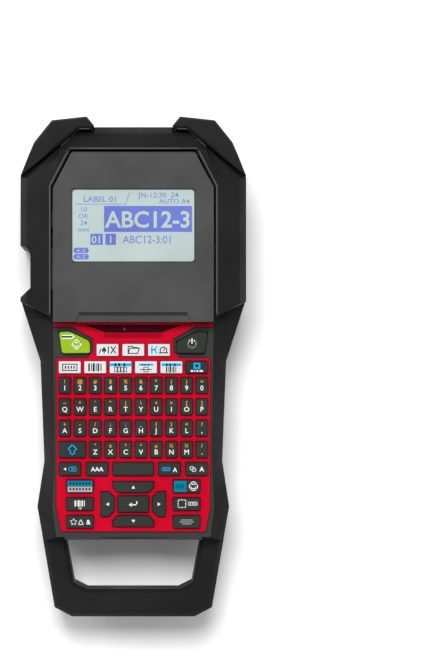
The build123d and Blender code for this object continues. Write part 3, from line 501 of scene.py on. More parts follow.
# The dark keys' edge colour is a painted shade: a strong dark band round each cap's rim, standing in for the
# shadow round the key.
DARK_KEY = Finish(
    "dark_key", srgb(46, 50, 47), srgb(40, 44, 41), roughness=0.42, spread=0.05, relief_depth=0.12,
    edge_wear_and_light_colour=srgb(14, 15, 14), edge_wear_and_light=2.0, dust=0.0, rounding=0.0003, specular=0.12,
)
GREEN_KEY = Finish(
    "green_key", srgb(134, 166, 26), srgb(126, 158, 20), roughness=0.38, relief_depth=0.05, edge_wear_and_light=0.0,
    dust=0.0, specular=0.15,
)
WINDOW_GLASS = Finish(
    "window_glass", srgb(120, 132, 138), srgb(110, 122, 128), roughness=0.08, spread=0.02,
    relief_depth=0.0, alpha=0.12, edge_wear_and_light=0.0, dust=0.0, rounding=0.0,
)
DISPLAY_GLASS = Finish(
    "display_glass", srgb(190, 204, 200), srgb(182, 197, 194), roughness=0.3, relief_scale=3000,
    relief_depth=0.02, edge_wear_and_light=0.0, dust=0.0, rounding=0.0,
)
DISPLAY_INK = Finish(
    "display_ink", srgb(92, 108, 205), srgb(84, 98, 196), roughness=0.35, relief_depth=0.02, edge_wear_and_light=0.0,
    dust=0.0, rounding=0.0,
)
DISPLAY_FAINT = Finish(
    "display_faint", srgb(112, 136, 205), srgb(104, 128, 196), roughness=0.35, relief_depth=0.02,
    edge_wear_and_light=0.0, dust=0.0, rounding=0.0,
)
DISPLAY_BORDER = Finish(
    "display_border", srgb(34, 36, 38), srgb(28, 30, 32), roughness=0.3, relief_depth=0.02, edge_wear_and_light=0.0,
    dust=0.0,
)
SOLDER_MASK = Finish(
    "solder_mask", srgb(12, 84, 46), srgb(10, 70, 40), roughness=0.35, coat=0.3, relief_scale=900,
    relief_depth=0.12, edge_wear_and_light_colour=srgb(160, 150, 90), edge_wear_and_light=0.2,
)
SILICONE = Finish(
    "silicone", srgb(120, 122, 124), srgb(108, 110, 112), roughness=0.7, relief_depth=0.15, edge_wear_and_light=0.0,
)
STEEL = Finish(
    "steel", srgb(176, 176, 180), srgb(160, 160, 166), roughness=0.32, metallic=1.0,
    relief=Relief.STREAKS, relief_scale=900, relief_depth=0.25, edge_wear_and_light_colour=srgb(225, 225, 228), edge_wear_and_light=0.3,
)
DARK_STEEL = Finish(
    "dark_steel", srgb(62, 62, 66), srgb(50, 50, 54), roughness=0.4, metallic=1.0,
    relief=Relief.STREAKS, relief_scale=700, relief_depth=0.2, edge_wear_and_light_colour=srgb(140, 140, 144), edge_wear_and_light=0.35,
)
ACETAL = Finish(
    "acetal", srgb(226, 222, 208), srgb(216, 211, 194), roughness=0.38, relief_depth=0.05, edge_wear_and_light=0.0,
)
ROLLER_RUBBER = Finish(
    "roller_rubber", srgb(40, 40, 42), srgb(33, 33, 35), roughness=0.8, relief_depth=0.3, edge_wear_and_light=0.0,
)
CARTRIDGE_GREY = Finish(
    "cartridge_grey", srgb(130, 133, 138), srgb(120, 123, 128), roughness=0.5, relief_depth=0.3,
    edge_wear_and_light_colour=srgb(170, 172, 176),
)
PAPER = Finish(
    "paper", srgb(238, 237, 230), srgb(230, 229, 221), roughness=0.8, relief_depth=0.2, edge_wear_and_light=0.0,
)
RIBBON = Finish(
    "ribbon", srgb(24, 24, 28), srgb(18, 18, 22), roughness=0.22, relief_depth=0.05, edge_wear_and_light=0.0,
)
BATTERY_WRAP = Finish(
    "battery_wrap", srgb(38, 44, 62), srgb(32, 38, 54), roughness=0.3, relief_depth=0.1, edge_wear_and_light=0.0,
)
FOOT_RUBBER = Finish(
    "foot_rubber", srgb(44, 44, 44), srgb(36, 36, 36), roughness=0.85, relief_depth=0.4, edge_wear_and_light=0.0,
)
FLOOR_COAT = Finish(
    "floor_coat", srgb(246, 246, 246), srgb(243, 243, 243), roughness=0.7, relief_depth=0.02, edge_wear_and_light=0.0,
    dust=0.0,
)


def ink(name: str, red: float, green: float, blue: float) -> Finish:
    """Give a flat finish of one colour, for printed marks and for painted highlights and shade.

    Args:
        name: The ink's name.
        red: Red, from 0 to 255.
        green: Green, from 0 to 255.
        blue: Blue, from 0 to 255.

    Returns:
        A flat finish of that colour.
    """
    return Finish(
        name, srgb(red, green, blue), srgb(red * 0.96, green * 0.96, blue * 0.96), roughness=0.5,
        relief_depth=0.02, edge_wear_and_light=0.0, dust=0.0, rounding=0.0, specular=0.1,
    )


WHITE_INK = ink("white_ink", 214, 214, 214)
GREY_INK = ink("grey_ink", 150, 150, 148)
ORANGE_INK = ink("orange_ink", 212, 136, 18)
BLACK_INK = ink("black_ink", 40, 40, 42)
CYAN_INK = ink("cyan_ink", 0, 158, 208)
TEAL_INK = ink("teal_ink", 0, 112, 136)
SOIL_INK = ink("soil_ink", 66, 34, 40)
# Painted highlight: thin pale lines laid on the rim round the cover and on the bumpers' inner edges, where
# they catch the light.
EDGE_HIGHLIGHT_PAINT = ink("edge_highlight_paint", 84, 84, 84)
# Painted shade in the bezel's finger scoop: a dark floor under the cover's lip and a lighter red shade on the
# slope below it.
SCOOP_SHADE = ink("scoop_shade", 58, 4, 14)
SCOOP_HALF_SHADE = ink("scoop_half_shade", 148, 0, 27)
SCOOP_MARK = ink("scoop_mark", 128, 78, 82)
STEP_SHADE = ink("step_shade", 46, 46, 46)

SLOT_FINISHES = {
    "case_plastic": CASE_PLASTIC,
    "bumper_rubber": BUMPER_RUBBER,
    "cover_plastic": COVER_PLASTIC,
    "bezel_red": BEZEL_RED,
    "key_light": LIGHT_KEY,
    "key_dark": DARK_KEY,
    "key_green": GREEN_KEY,
    "clear": WINDOW_GLASS,
    "lcd": DISPLAY_GLASS,
    "board_green": SOLDER_MASK,
    "silicone": SILICONE,
    "steel": STEEL,
    "dark_steel": DARK_STEEL,
    "acetal": ACETAL,
    "roller_rubber": ROLLER_RUBBER,
    "cartridge_grey": CARTRIDGE_GREY,
    "paper": PAPER,
    "ribbon": RIBBON,
    "battery_wrap": BATTERY_WRAP,
    "foot_rubber": FOOT_RUBBER,
}


# --- mesh tools -----------------------------------------------------------------------------------
def body_of(node: str) -> str:
    """Give the body that a node belongs to."""
    bodies = frame["record"]["behaviour"]["bodies"]
    return next(body for body, members in bodies.items() if node in members)


def slot_of(node: str) -> str:
    """Give the material slot that the record states for a node."""
    return next(row["material_slot"] for row in frame["record"]["subparts"] if row["node"] == node)


def to_object(
    name: str, mesh: bmesh.types.BMesh, finish: Finish, body: str, smooth: bool = False
) -> bpy.types.Object:
    """Turn a finished bmesh into a piece that rides on a body.

    Args:
        name: The piece's name.
        mesh: The bmesh, which is freed.
        finish: The piece's material.
        body: The body that it rides on.
        smooth: Whether its faces are shaded smooth.

    Returns:
        The new object.
    """
    data = bpy.data.meshes.new(name)
    bmesh.ops.recalc_face_normals(mesh, faces=mesh.faces)
    for face in mesh.faces:
        face.smooth = smooth
    mesh.to_mesh(data)
    mesh.free()
    made = bpy.data.objects.new(name, data)
    bpy.context.scene.collection.objects.link(made)
    data.materials.append(finish.material())
    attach(made, body)
    return made


def prism(mesh: bmesh.types.BMesh, outline: Sequence[Point], bottom: float, top: float) -> None:
    """Add an upright prism over a polygon to a bmesh.

    Args:
        mesh: The bmesh.
        outline: The polygon's corners.
        bottom: The height of the lower face.
        top: The height of the upper face.
    """
    low = [mesh.verts.new((x, y, bottom)) for x, y in outline]
    high = [mesh.verts.new((x, y, top)) for x, y in outline]
    mesh.faces.new(list(reversed(low)))
    mesh.faces.new(high)
    for index in range(len(outline)):
        after = (index + 1) % len(outline)
        mesh.faces.new((low[index], low[after], high[after], high[index]))


def islands(node: str) -> list[list[Vector]]:
    """Split a node's corners into its separate solids, ordered from the top left to the bottom right.

    Args:
        node: The node.

    Returns:
        The corners of each solid.
    """
    mesh = bmesh.new()
    mesh.from_mesh(frame["nodes"][node].data)
    bmesh.ops.remove_doubles(mesh, verts=mesh.verts, dist=0.001 * MM)
    seen: set[bmesh.types.BMVert] = set()
    found = []
    for start in mesh.verts:
        if start in seen:
            continue
        seen.add(start)
        pile, members = [start], []
        while pile:
            vert = pile.pop()
            members.append(vert.co.copy())
            for edge in vert.link_edges:
                other = edge.other_vert(vert)
                if other not in seen:
                    seen.add(other)
                    pile.append(other)
        found.append(members)
    mesh.free()
    return sorted(found, key=lambda group: (-round(middle_of(group)[1], 4), middle_of(group)[0]))


def middle_of(corners: Sequence[Vector]) -> Point:
    """Give the middle of a group of corners, seen from above.

    Args:
        corners: The corners.

    Returns:
        The middle of their box.
    """
    xs = [corner.x for corner in corners]
    ys = [corner.y for corner in corners]
    return (min(xs) + max(xs)) / 2, (min(ys) + max(ys)) / 2


def hull_outline(corners: Sequence[Vector]) -> list[Point]:
    """Give the outline of a convex group of corners seen from above, without points in line.

    Args:
        corners: The corners.

    Returns:
        The outline's points.
    """
    flat = [(corner.x, corner.y) for corner in corners]
    outline = [flat[index] for index in convex_hull_2d(flat)]
    kept: list[Point] = []
    count = len(outline)
    for index, here in enumerate(outline):
        before = Vector(here) - Vector(outline[index - 1])
        after = Vector(outline[(index + 1) % count]) - Vector(here)
        if before.length < 0.05 * MM:
            continue
        if abs(before.normalized().cross(after.normalized())) > 0.01 or after.length < 0.05 * MM:
            kept.append(here)
    return kept


def rounded(outline: Sequence[Point], radius: float, steps: int = 4) -> list[Point]:
    """Round every corner of a convex polygon.

    Args:
        outline: The polygon's corners.
        radius: How far from each corner the curve starts.
        steps: How many points each curve gets, less one.

    Returns:
        The rounded outline.
    """
    made: list[Point] = []
    count = len(outline)
    for index in range(count):
        here = Vector(outline[index])
        before = Vector(outline[index - 1]) - here
        after = Vector(outline[(index + 1) % count]) - here
        reach = min(radius, before.length * 0.45, after.length * 0.45)
        start = here + before.normalized() * reach
        end = here + after.normalized() * reach
        for step in range(steps + 1):
            share = step / steps
            place = start.lerp(here, share).lerp(here.lerp(end, share), share)
            made.append((place.x, place.y))
    return made


def grown(outline: Sequence[Point], distance: float) -> list[Point]:
    """Move every side of a polygon outwards, or inwards where the distance is negative.

    Args:
        outline: The polygon's corners.
        distance: How far its sides move.

    Returns:
        The moved corners.
    """
    count = len(outline)
    area = sum(a[0] * b[1] - b[0] * a[1] for a, b in zip(outline, list(outline[1:]) + [outline[0]]))
    turn = -1.0 if area > 0 else 1.0
    moved = []
    for index in range(count):
        here = Vector(outline[index])
        before = (here - Vector(outline[index - 1])).normalized()
        after = (Vector(outline[(index + 1) % count]) - here).normalized()
        first = Vector((-before.y, before.x)) * turn
        second = Vector((-after.y, after.x)) * turn
        middle = (first + second).normalized()
        place = here + middle * (distance / max(0.2, middle.dot(first)))
        moved.append((place.x, place.y))
    return moved


def softened(
    node: str, finish: Finish, width: float, angle: float = 28.0, segments: int = 3
) -> bpy.types.Object:
    """Stand a copy of a node with rounded edges in for the node.

    Args:
        node: The node that is replaced.
        finish: The copy's material.
        width: How wide the rounding of an edge is.
        angle: Edges that turn less than this many degrees stay as they are.
        segments: How many faces the rounding has.

    Returns:
        The copy.
    """
    mesh = bmesh.new()
    mesh.from_mesh(frame["nodes"][node].data)
    bmesh.ops.remove_doubles(mesh, verts=mesh.verts, dist=0.002 * MM)
    bmesh.ops.dissolve_limit(
        mesh, angle_limit=math.radians(1.0), verts=mesh.verts, edges=mesh.edges, use_dissolve_boundaries=False
    )
    made = to_object(f"{node}_shell", mesh, finish, body_of(node), smooth=True)
    bevel = made.modifiers.new("rounding", "BEVEL")
    bevel.width = width
    bevel.segments = segments
    bevel.limit_method = "ANGLE"
    bevel.angle_limit = math.radians(angle)
    bevel.use_clamp_overlap = True
    bevel.harden_normals = True
    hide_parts(node)
    slot_of(node)
    return made


# --- key caps and legends -------------------------------------------------------------------------
class Pen:
    """Draws thin raised marks on a flat face: letters, strokes, rings and filled shapes."""

    def __init__(self, height: float, thickness: float = 0.03 * MM) -> None:
        """Start an empty drawing.

        Args:
            height: Where the face is.
            thickness: How far the marks stand above it.
        """
        self.mesh = bmesh.new()
        self.low = height - thickness
        self.high = height + thickness

    def shape(self, outline: Sequence[Point], at: Point = (0.0, 0.0), size: float = 1.0) -> None:
        """Fill a polygon whose corners are in units of size around a point."""
        prism(self.mesh, [(at[0] + x * size, at[1] + y * size) for x, y in outline], self.low, self.high)

    def stroke(
        self, points: Sequence[Point], width: float, at: Point = (0.0, 0.0), size: float = 1.0
    ) -> None:
        """Draw straight runs of one width between points.

        Args:
            points: The stroke's points, in units of size around the place.
            width: Its width, in the same units.
            at: The place of the drawing.
            size: The length of one unit.
        """
        for start, end in zip(points, points[1:]):
            along = (Vector(end) - Vector(start)).normalized()
            aside = Vector((-along.y, along.x)) * width / 2
            first = Vector(start) - along * width / 2
            last = Vector(end) + along * width / 2
            corners = [first + aside, first - aside, last - aside, last + aside]
            self.shape([(corner.x, corner.y) for corner in corners], at, size)

    def arc(
        self, radius: float, width: float, start: float, end: float, at: Point, size: float = 1.0
    ) -> None:
        """Draw part of a ring, from one angle to another in degrees.

        Args:
            radius: The ring's radius, in units of size.
            width: The line's width, in the same units.
            start: The first angle.
            end: The last angle.
            at: The place of the drawing.
            size: The length of one unit.
        """
        steps = max(4, round(abs(end - start) / 20))
        angles = [math.radians(start + (end - start) * step / steps) for step in range(steps + 1)]
        points = [(radius * math.cos(angle), radius * math.sin(angle)) for angle in angles]
        self.stroke(points, width, at, size)

    def frame(self, half_x: float, half_y: float, width: float, at: Point, size: float = 1.0) -> None:
        """Draw the outline of a rectangle."""
        corners = [(-half_x, -half_y), (half_x, -half_y), (half_x, half_y), (-half_x, half_y)]
        self.stroke(corners + corners[:1], width, at, size)

    def text(self, words: str, at: Point, size: float, bold: float = 0.0, stretch: float = 1.0) -> None:
        """Write letters centred on a point.

        Args:
            words: The letters.
            at: The middle of the writing.
            size: The letters' height above the baseline, nearly.
            bold: How much the strokes are thickened, as a share of the size.
            stretch: How much wider than normal the letters are.
        """
        curve = bpy.data.curves.new("writing", "FONT")
        curve.body = words
        curve.align_x = "CENTER"
        curve.size = size * 1.37
        curve.offset = size * bold
        curve.resolution_u = 3
        curve.extrude = (self.high - self.low) / 2
        writing = bpy.data.objects.new("writing", curve)
        drawn = bpy.data.meshes.new_from_object(writing)
        place = Matrix.Translation((at[0], at[1] - size / 2, (self.low + self.high) / 2))
        drawn.transform(place @ Matrix.Diagonal((stretch, 1, 1, 1)))
        self.mesh.from_mesh(drawn)
        bpy.data.objects.remove(writing)
        bpy.data.curves.remove(curve)
        bpy.data.meshes.remove(drawn)

    def piece(self, name: str, finish: Finish, body: str) -> bpy.types.Object | None:
        """Make the drawing a piece that rides on a body, unless nothing was drawn.

        Args:
            name: The piece's name.
            finish: Its material.
            body: The body that it rides on.

        Returns:
            The piece, or None.
        """
        if not self.mesh.verts:
            self.mesh.free()
            return None
        return to_object(name, self.mesh, finish, body)


@dataclass
class Icon:
    """Generic signs for the keys; each method draws one around the place.

    Attributes:
        pen: The pen that draws.
        at: The place.
        size: The length of one unit.
    """

    pen: Pen
    at: Point
    size: float

    def shape(self, outline: Sequence[Point]) -> None:
        """Fill a polygon."""
        self.pen.shape(outline, self.at, self.size)

    def stroke(self, points: Sequence[Point], width: float) -> None:
        """Draw straight runs between points."""
        self.pen.stroke(points, width, self.at, self.size)

    def arc(self, radius: float, width: float, start: float, end: float) -> None:
        """Draw part of a ring."""
        self.pen.arc(radius, width, start, end, self.at, self.size)

    def frame(self, half_x: float, half_y: float, width: float, aside: Point = (0.0, 0.0)) -> None:
        """Draw the outline of a rectangle, moved aside from the place."""
        middle = (self.at[0] + aside[0] * self.size, self.at[1] + aside[1] * self.size)
        self.pen.frame(half_x, half_y, width, middle, self.size)

    def up(self) -> None:
        """A triangle that points up."""
        self.shape([(-0.5, -0.4), (0.5, -0.4), (0.0, 0.45)])

    def down(self) -> None:
        """A triangle that points down."""
        self.shape([(-0.5, 0.4), (0.0, -0.45), (0.5, 0.4)])

    def left(self) -> None:
        """A triangle that points left."""
        self.shape([(0.4, -0.5), (0.4, 0.5), (-0.45, 0.0)])

    def right(self) -> None:
        """A triangle that points right."""
        self.shape([(-0.4, -0.5), (0.45, 0.0), (-0.4, 0.5)])

    def enter(self) -> None:
        """A return arrow."""
        self.stroke([(0.62, 0.42), (0.62, -0.1), (-0.25, -0.1)], 0.2)
        self.shape([(-0.25, 0.28), (-0.8, -0.1), (-0.25, -0.48)])

    def power(self) -> None:
        """A broken ring with a bar at its top."""
        self.arc(0.5, 0.15, 125, 415)
        self.stroke([(0.0, 0.1), (0.0, 0.62)], 0.15)

    def printing(self) -> None:
        """A small printer with a sheet leaving it."""
        self.frame(0.55, 0.3, 0.13)
        self.stroke([(-0.3, 0.3), (-0.3, 0.62), (0.3, 0.62), (0.3, 0.3)], 0.12)
        self.stroke([(-0.3, -0.1), (-0.3, -0.55), (0.3, -0.55), (0.3, -0.1)], 0.12)

    def shift(self) -> None:
        """A hollow arrow that points up."""
        stem = [(-0.22, -0.5), (0.22, -0.5), (0.22, 0.0)]
        outline = stem + [(0.5, 0.0), (0.0, 0.55), (-0.5, 0.0), (-0.22, 0.0)]
        self.stroke(outline + outline[:1], 0.11)

    def folder(self) -> None:
        """A folder with its tab."""
        front = [(-0.6, -0.4), (0.5, -0.4), (0.7, 0.2), (-0.4, 0.2), (-0.6, -0.4)]
        back = [(-0.6, 0.42), (-0.1, 0.42), (0.0, 0.28), (0.45, 0.28), (0.45, 0.2)]
        self.stroke(front + back, 0.11)

    def label(self) -> None:
        """A label with one line of marks."""
        self.frame(0.75, 0.32, 0.1)
        for offset in (-0.45, -0.15, 0.15, 0.45):
            self.stroke([(offset, -0.08), (offset, 0.08)], 0.14)

    def bars(self) -> None:
        """A row of upright bars of uneven width."""
        left_half = ((-0.6, 0.16), (-0.36, 0.08), (-0.14, 0.2))
        right_half = ((0.1, 0.08), (0.3, 0.16), (0.56, 0.1))
        for offset, width in left_half + right_half:
            self.stroke([(offset, -0.3), (offset, 0.3)], width)

    def cross(self) -> None:
        """A boxed cross, for clearing."""
        box = [(-0.75, 0.0), (-0.4, 0.36), (0.6, 0.36), (0.6, -0.36), (-0.4, -0.36), (-0.75, 0.0)]
        self.stroke(box, 0.1)
        self.stroke([(-0.15, -0.16), (0.25, 0.16)], 0.1)
        self.stroke([(-0.15, 0.16), (0.25, -0.16)], 0.1)

    def flag(self) -> None:
        """A label wrapped round a wire."""
        self.stroke([(-0.8, 0.0), (0.8, 0.0)], 0.12)
        self.frame(0.32, 0.34, 0.1)

    def grid(self) -> None:
        """A row of small boxes."""
        for offset in (-0.6, -0.2, 0.2, 0.6):
            self.frame(0.16, 0.3, 0.09, (offset, 0.0))

    def copies(self) -> None:
        """Two sheets, one over the other."""
        self.frame(0.3, 0.26, 0.1, (-0.16, 0.12))
        self.frame(0.3, 0.26, 0.1, (0.16, -0.12))

    def dashes(self) -> None:
        """A row of short thick bars, as a stand-in for a word."""
        for low, high in ((-0.9, -0.56), (-0.44, -0.2), (-0.08, 0.3), (0.42, 0.9)):
            self.stroke([(low, 0.0), (high, 0.0)], 0.3)

    def tag(self) -> None:
        """A filled label with a pointed end."""
        self.shape([(-1.3, -0.42), (0.95, -0.42), (1.35, 0.0), (0.95, 0.42), (-1.3, 0.42)])

    def symbols(self) -> None:
        """A leaf, a stem and a cross in a row."""
        self.shape([(-0.72, -0.3), (-0.46, -0.12), (-0.2, -0.3), (-0.2, 0.05), (-0.46, 0.45), (-0.72, 0.05)])
        self.stroke([(-0.46, -0.1), (-0.46, -0.45)], 0.12)
        self.stroke([(-1.1, -0.4), (-0.88, 0.1)], 0.14)
        self.stroke([(0.1, -0.42), (0.1, 0.4)], 0.14)
        self.stroke([(0.45, -0.42), (1.05, 0.42)], 0.14)
        self.stroke([(0.45, 0.42), (1.05, -0.42)], 0.14)

    def settings(self) -> None:
        """Two crossed tools."""
        self.stroke([(-0.36, 0.45), (-0.36, -0.45)], 0.2)
        self.stroke([(0.3, 0.45), (0.05, 0.05), (0.3, -0.45)], 0.18)
        self.stroke([(-0.36, 0.0), (0.05, 0.05)], 0.18)

    def dial(self) -> None:
        """A ring with a bar under it."""
        self.arc(0.42, 0.12, -30, 210)
        self.stroke([(-0.5, -0.3), (0.5, -0.3)], 0.14)
        self.stroke([(0.0, -0.05), (0.16, 0.22)], 0.1)

    def upper_half(self) -> None:
        """A wide band over the upper half of a key."""
        self.shape([(-1.28, 0.02), (1.28, 0.02), (1.28, 0.58), (-1.28, 0.58)])

    def lower_half(self) -> None:
        """A wide band over the lower half of a key."""
        self.shape([(-1.28, -0.58), (1.28, -0.58), (1.28, -0.02), (-1.28, -0.02)])

    def studs(self) -> None:
        """A wide row of small squares."""
        for step in range(7):
            middle = (step - 3) * 0.37
            left, right = middle - 0.1, middle + 0.1
            self.shape([(left, -0.11), (right, -0.11), (right, 0.11), (left, 0.11)])

    def block(self) -> None:
        """A filled square."""
        self.shape([(-0.55, -0.52), (0.6, -0.52), (0.6, 0.52), (-0.55, 0.52)])

    def cut_here(self) -> None:
        """A square drawn with dashes."""
        for low, high in ((-0.5, -0.3), (-0.1, 0.1), (0.3, 0.5)):
            for side in (-0.5, 0.5):
                self.stroke([(low, side), (high, side)], 0.1)
                self.stroke([(side, low), (side, high)], 0.1)

    def columns(self) -> None:
        """Three lines of writing, drawn as bars."""
        for row, reach in ((0.32, 0.9), (0.0, 1.1), (-0.32, 0.7)):
            self.stroke([(-reach, row), (reach, row)], 0.12)

    def star(self) -> None:
        """A star beside a triangle."""
        turns = [math.radians(90 + 36 * step) for step in range(10)]
        reaches = [0.4 if step % 2 else 0.8 for step in range(10)]
        points = [
            (math.cos(turn) * reach * 0.6 - 0.5, math.sin(turn) * reach * 0.6)
            for turn, reach in zip(turns, reaches)
        ]
        self.stroke(points + points[:1], 0.08)
        self.stroke([(0.15, -0.35), (0.85, -0.35), (0.5, 0.35), (0.15, -0.35)], 0.1)


Painter = Callable[[Icon], None]


@dataclass(frozen=True)
class Mark:
    """One mark on a key: what it is, its ink, where it stands and how large it is.

    Attributes:
        what: Letters, or the function that draws a sign.
        ink: The mark's finish.
        across: Its place across the key, as a share of half the key's width.
        up: Its place up the key, as a share of half the key's height.
        size: Its height in millimetres.
        bold: How much letters are thickened.
    """

    what: str | Painter
    ink: Finish = WHITE_INK
    across: float = 0.0
    up: float = 0.0
    size: float = 3.0
    bold: float = 0.03

    def draw(self, pen: Pen, middle: Point, half: Point) -> None:
        """Draw the mark on a key, given the key's middle and half its size.

        Args:
            pen: The pen.
            middle: The key's middle.
            half: Half the key's width and height.
        """
        at = (middle[0] + self.across * half[0], middle[1] + self.up * half[1])
        if isinstance(self.what, str):
            pen.text(self.what, at, self.size * MM, self.bold)
        else:
            self.what(Icon(pen, at, self.size * MM))


def letter_marks(letters: str, signs: str) -> list[list[Mark]]:
    """Give each key of a row its white letter and its small orange sign.

    Args:
        letters: The row's letters.
        signs: The second signs over them.

    Returns:
        The marks of each key.
    """
    return [
        [Mark(letter, up=-0.28, size=2.9, bold=0.018), Mark(sign, ORANGE_INK, up=0.5, size=2.2, bold=0.03)]
        for letter, sign in zip(letters, signs)
    ]


@dataclass
class KeySet:
    """The keys of one node, with rounded caps and their marks.

    Attributes:
        node: The node that the caps stand for.
        finish: The caps' finish.
        marks: The marks of each key, from the left, top row first.
        lit: Finishes of single keys that differ from the others.
        corner: How much the caps' upright corners are rounded.
        rounding: Radius of the caps' top edges.
        steps: Number of bands in the rounding.
    """

    node: str
    finish: Finish
    marks: list[list[Mark]] = field(default_factory=list)
    lit: dict[int, Finish] = field(default_factory=dict)
    corner: float = 0.7 * MM
    rounding: float = 0.55 * MM
    steps: int = 4

    def cap(self, mesh: bmesh.types.BMesh, outline: list[Point], bottom: float, top: float) -> None:
        """Add one cap with a rounded rim to a bmesh.

        Args:
            mesh: The bmesh.
            outline: The key's outline.
            bottom: The height of its lower face.
            top: The height of its upper face.
        """
        rings = [(bottom, 0.0), (top - self.rounding, 0.0)]
        for step in range(1, self.steps + 1):
            turn = math.pi / 2 * step / self.steps
            rings.append((top - self.rounding * (1 - math.sin(turn)), self.rounding * (1 - math.cos(turn))))
        base = rounded(outline, self.corner)
        loops = []
        for height, inset in rings:
            loops.append([mesh.verts.new((x, y, height)) for x, y in grown(base, -inset)])
        for low, high in zip(loops, loops[1:]):
            for index in range(len(low)):
                after = (index + 1) % len(low)
                mesh.faces.new((low[index], low[after], high[after], high[index]))
        mesh.faces.new(list(reversed(loops[0])))
        mesh.faces.new(loops[-1])

    def build(self) -> int:
        """Build the caps and marks, and give the number of keys.

        Returns:
            The number of keys.
        """
        keys = islands(self.node)
        body = body_of(self.node)
        low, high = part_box(self.node)
        groups: dict[str, tuple[Finish, list[int]]] = {}
        for index in range(len(keys)):
            finish = self.lit.get(index, self.finish)
            groups.setdefault(finish.name, (finish, []))[1].append(index)
        for place, (finish, members) in enumerate(groups.values()):
            mesh = bmesh.new()
            for index in members:
                self.cap(mesh, hull_outline(keys[index]), low.z, high.z)
            made = to_object(f"{self.node}_caps_{place + 1}", mesh, finish, body, smooth=True)
            for polygon in made.data.polygons:
                polygon.use_smooth = len(polygon.vertices) == 4
            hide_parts(self.node)
            slot_of(self.node)
        self.draw_marks(keys, body, high.z)
        return len(keys)

    def draw_marks(self, keys: list[list[Vector]], body: str, top: float) -> None:
        """Draw every mark, one piece for each ink.

        Args:
            keys: The corners of each key.
            body: The body that the marks ride on.
            top: The height of the keys' faces.
        """
        pens: dict[str, tuple[Finish, Pen]] = {}
        for corners, marks in zip(keys, self.marks):
            xs = [corner.x for corner in corners]
            ys = [corner.y for corner in corners]
            middle = ((min(xs) + max(xs)) / 2, (min(ys) + max(ys)) / 2)
            half = ((max(xs) - min(xs)) / 2, (max(ys) - min(ys)) / 2)
            for mark in marks:
                pen = pens.setdefault(mark.ink.name, (mark.ink, Pen(top)))[1]
                mark.draw(pen, middle, half)
        for name, (ink, pen) in pens.items():
            pen.piece(f"{self.node}_{name}", ink, body)


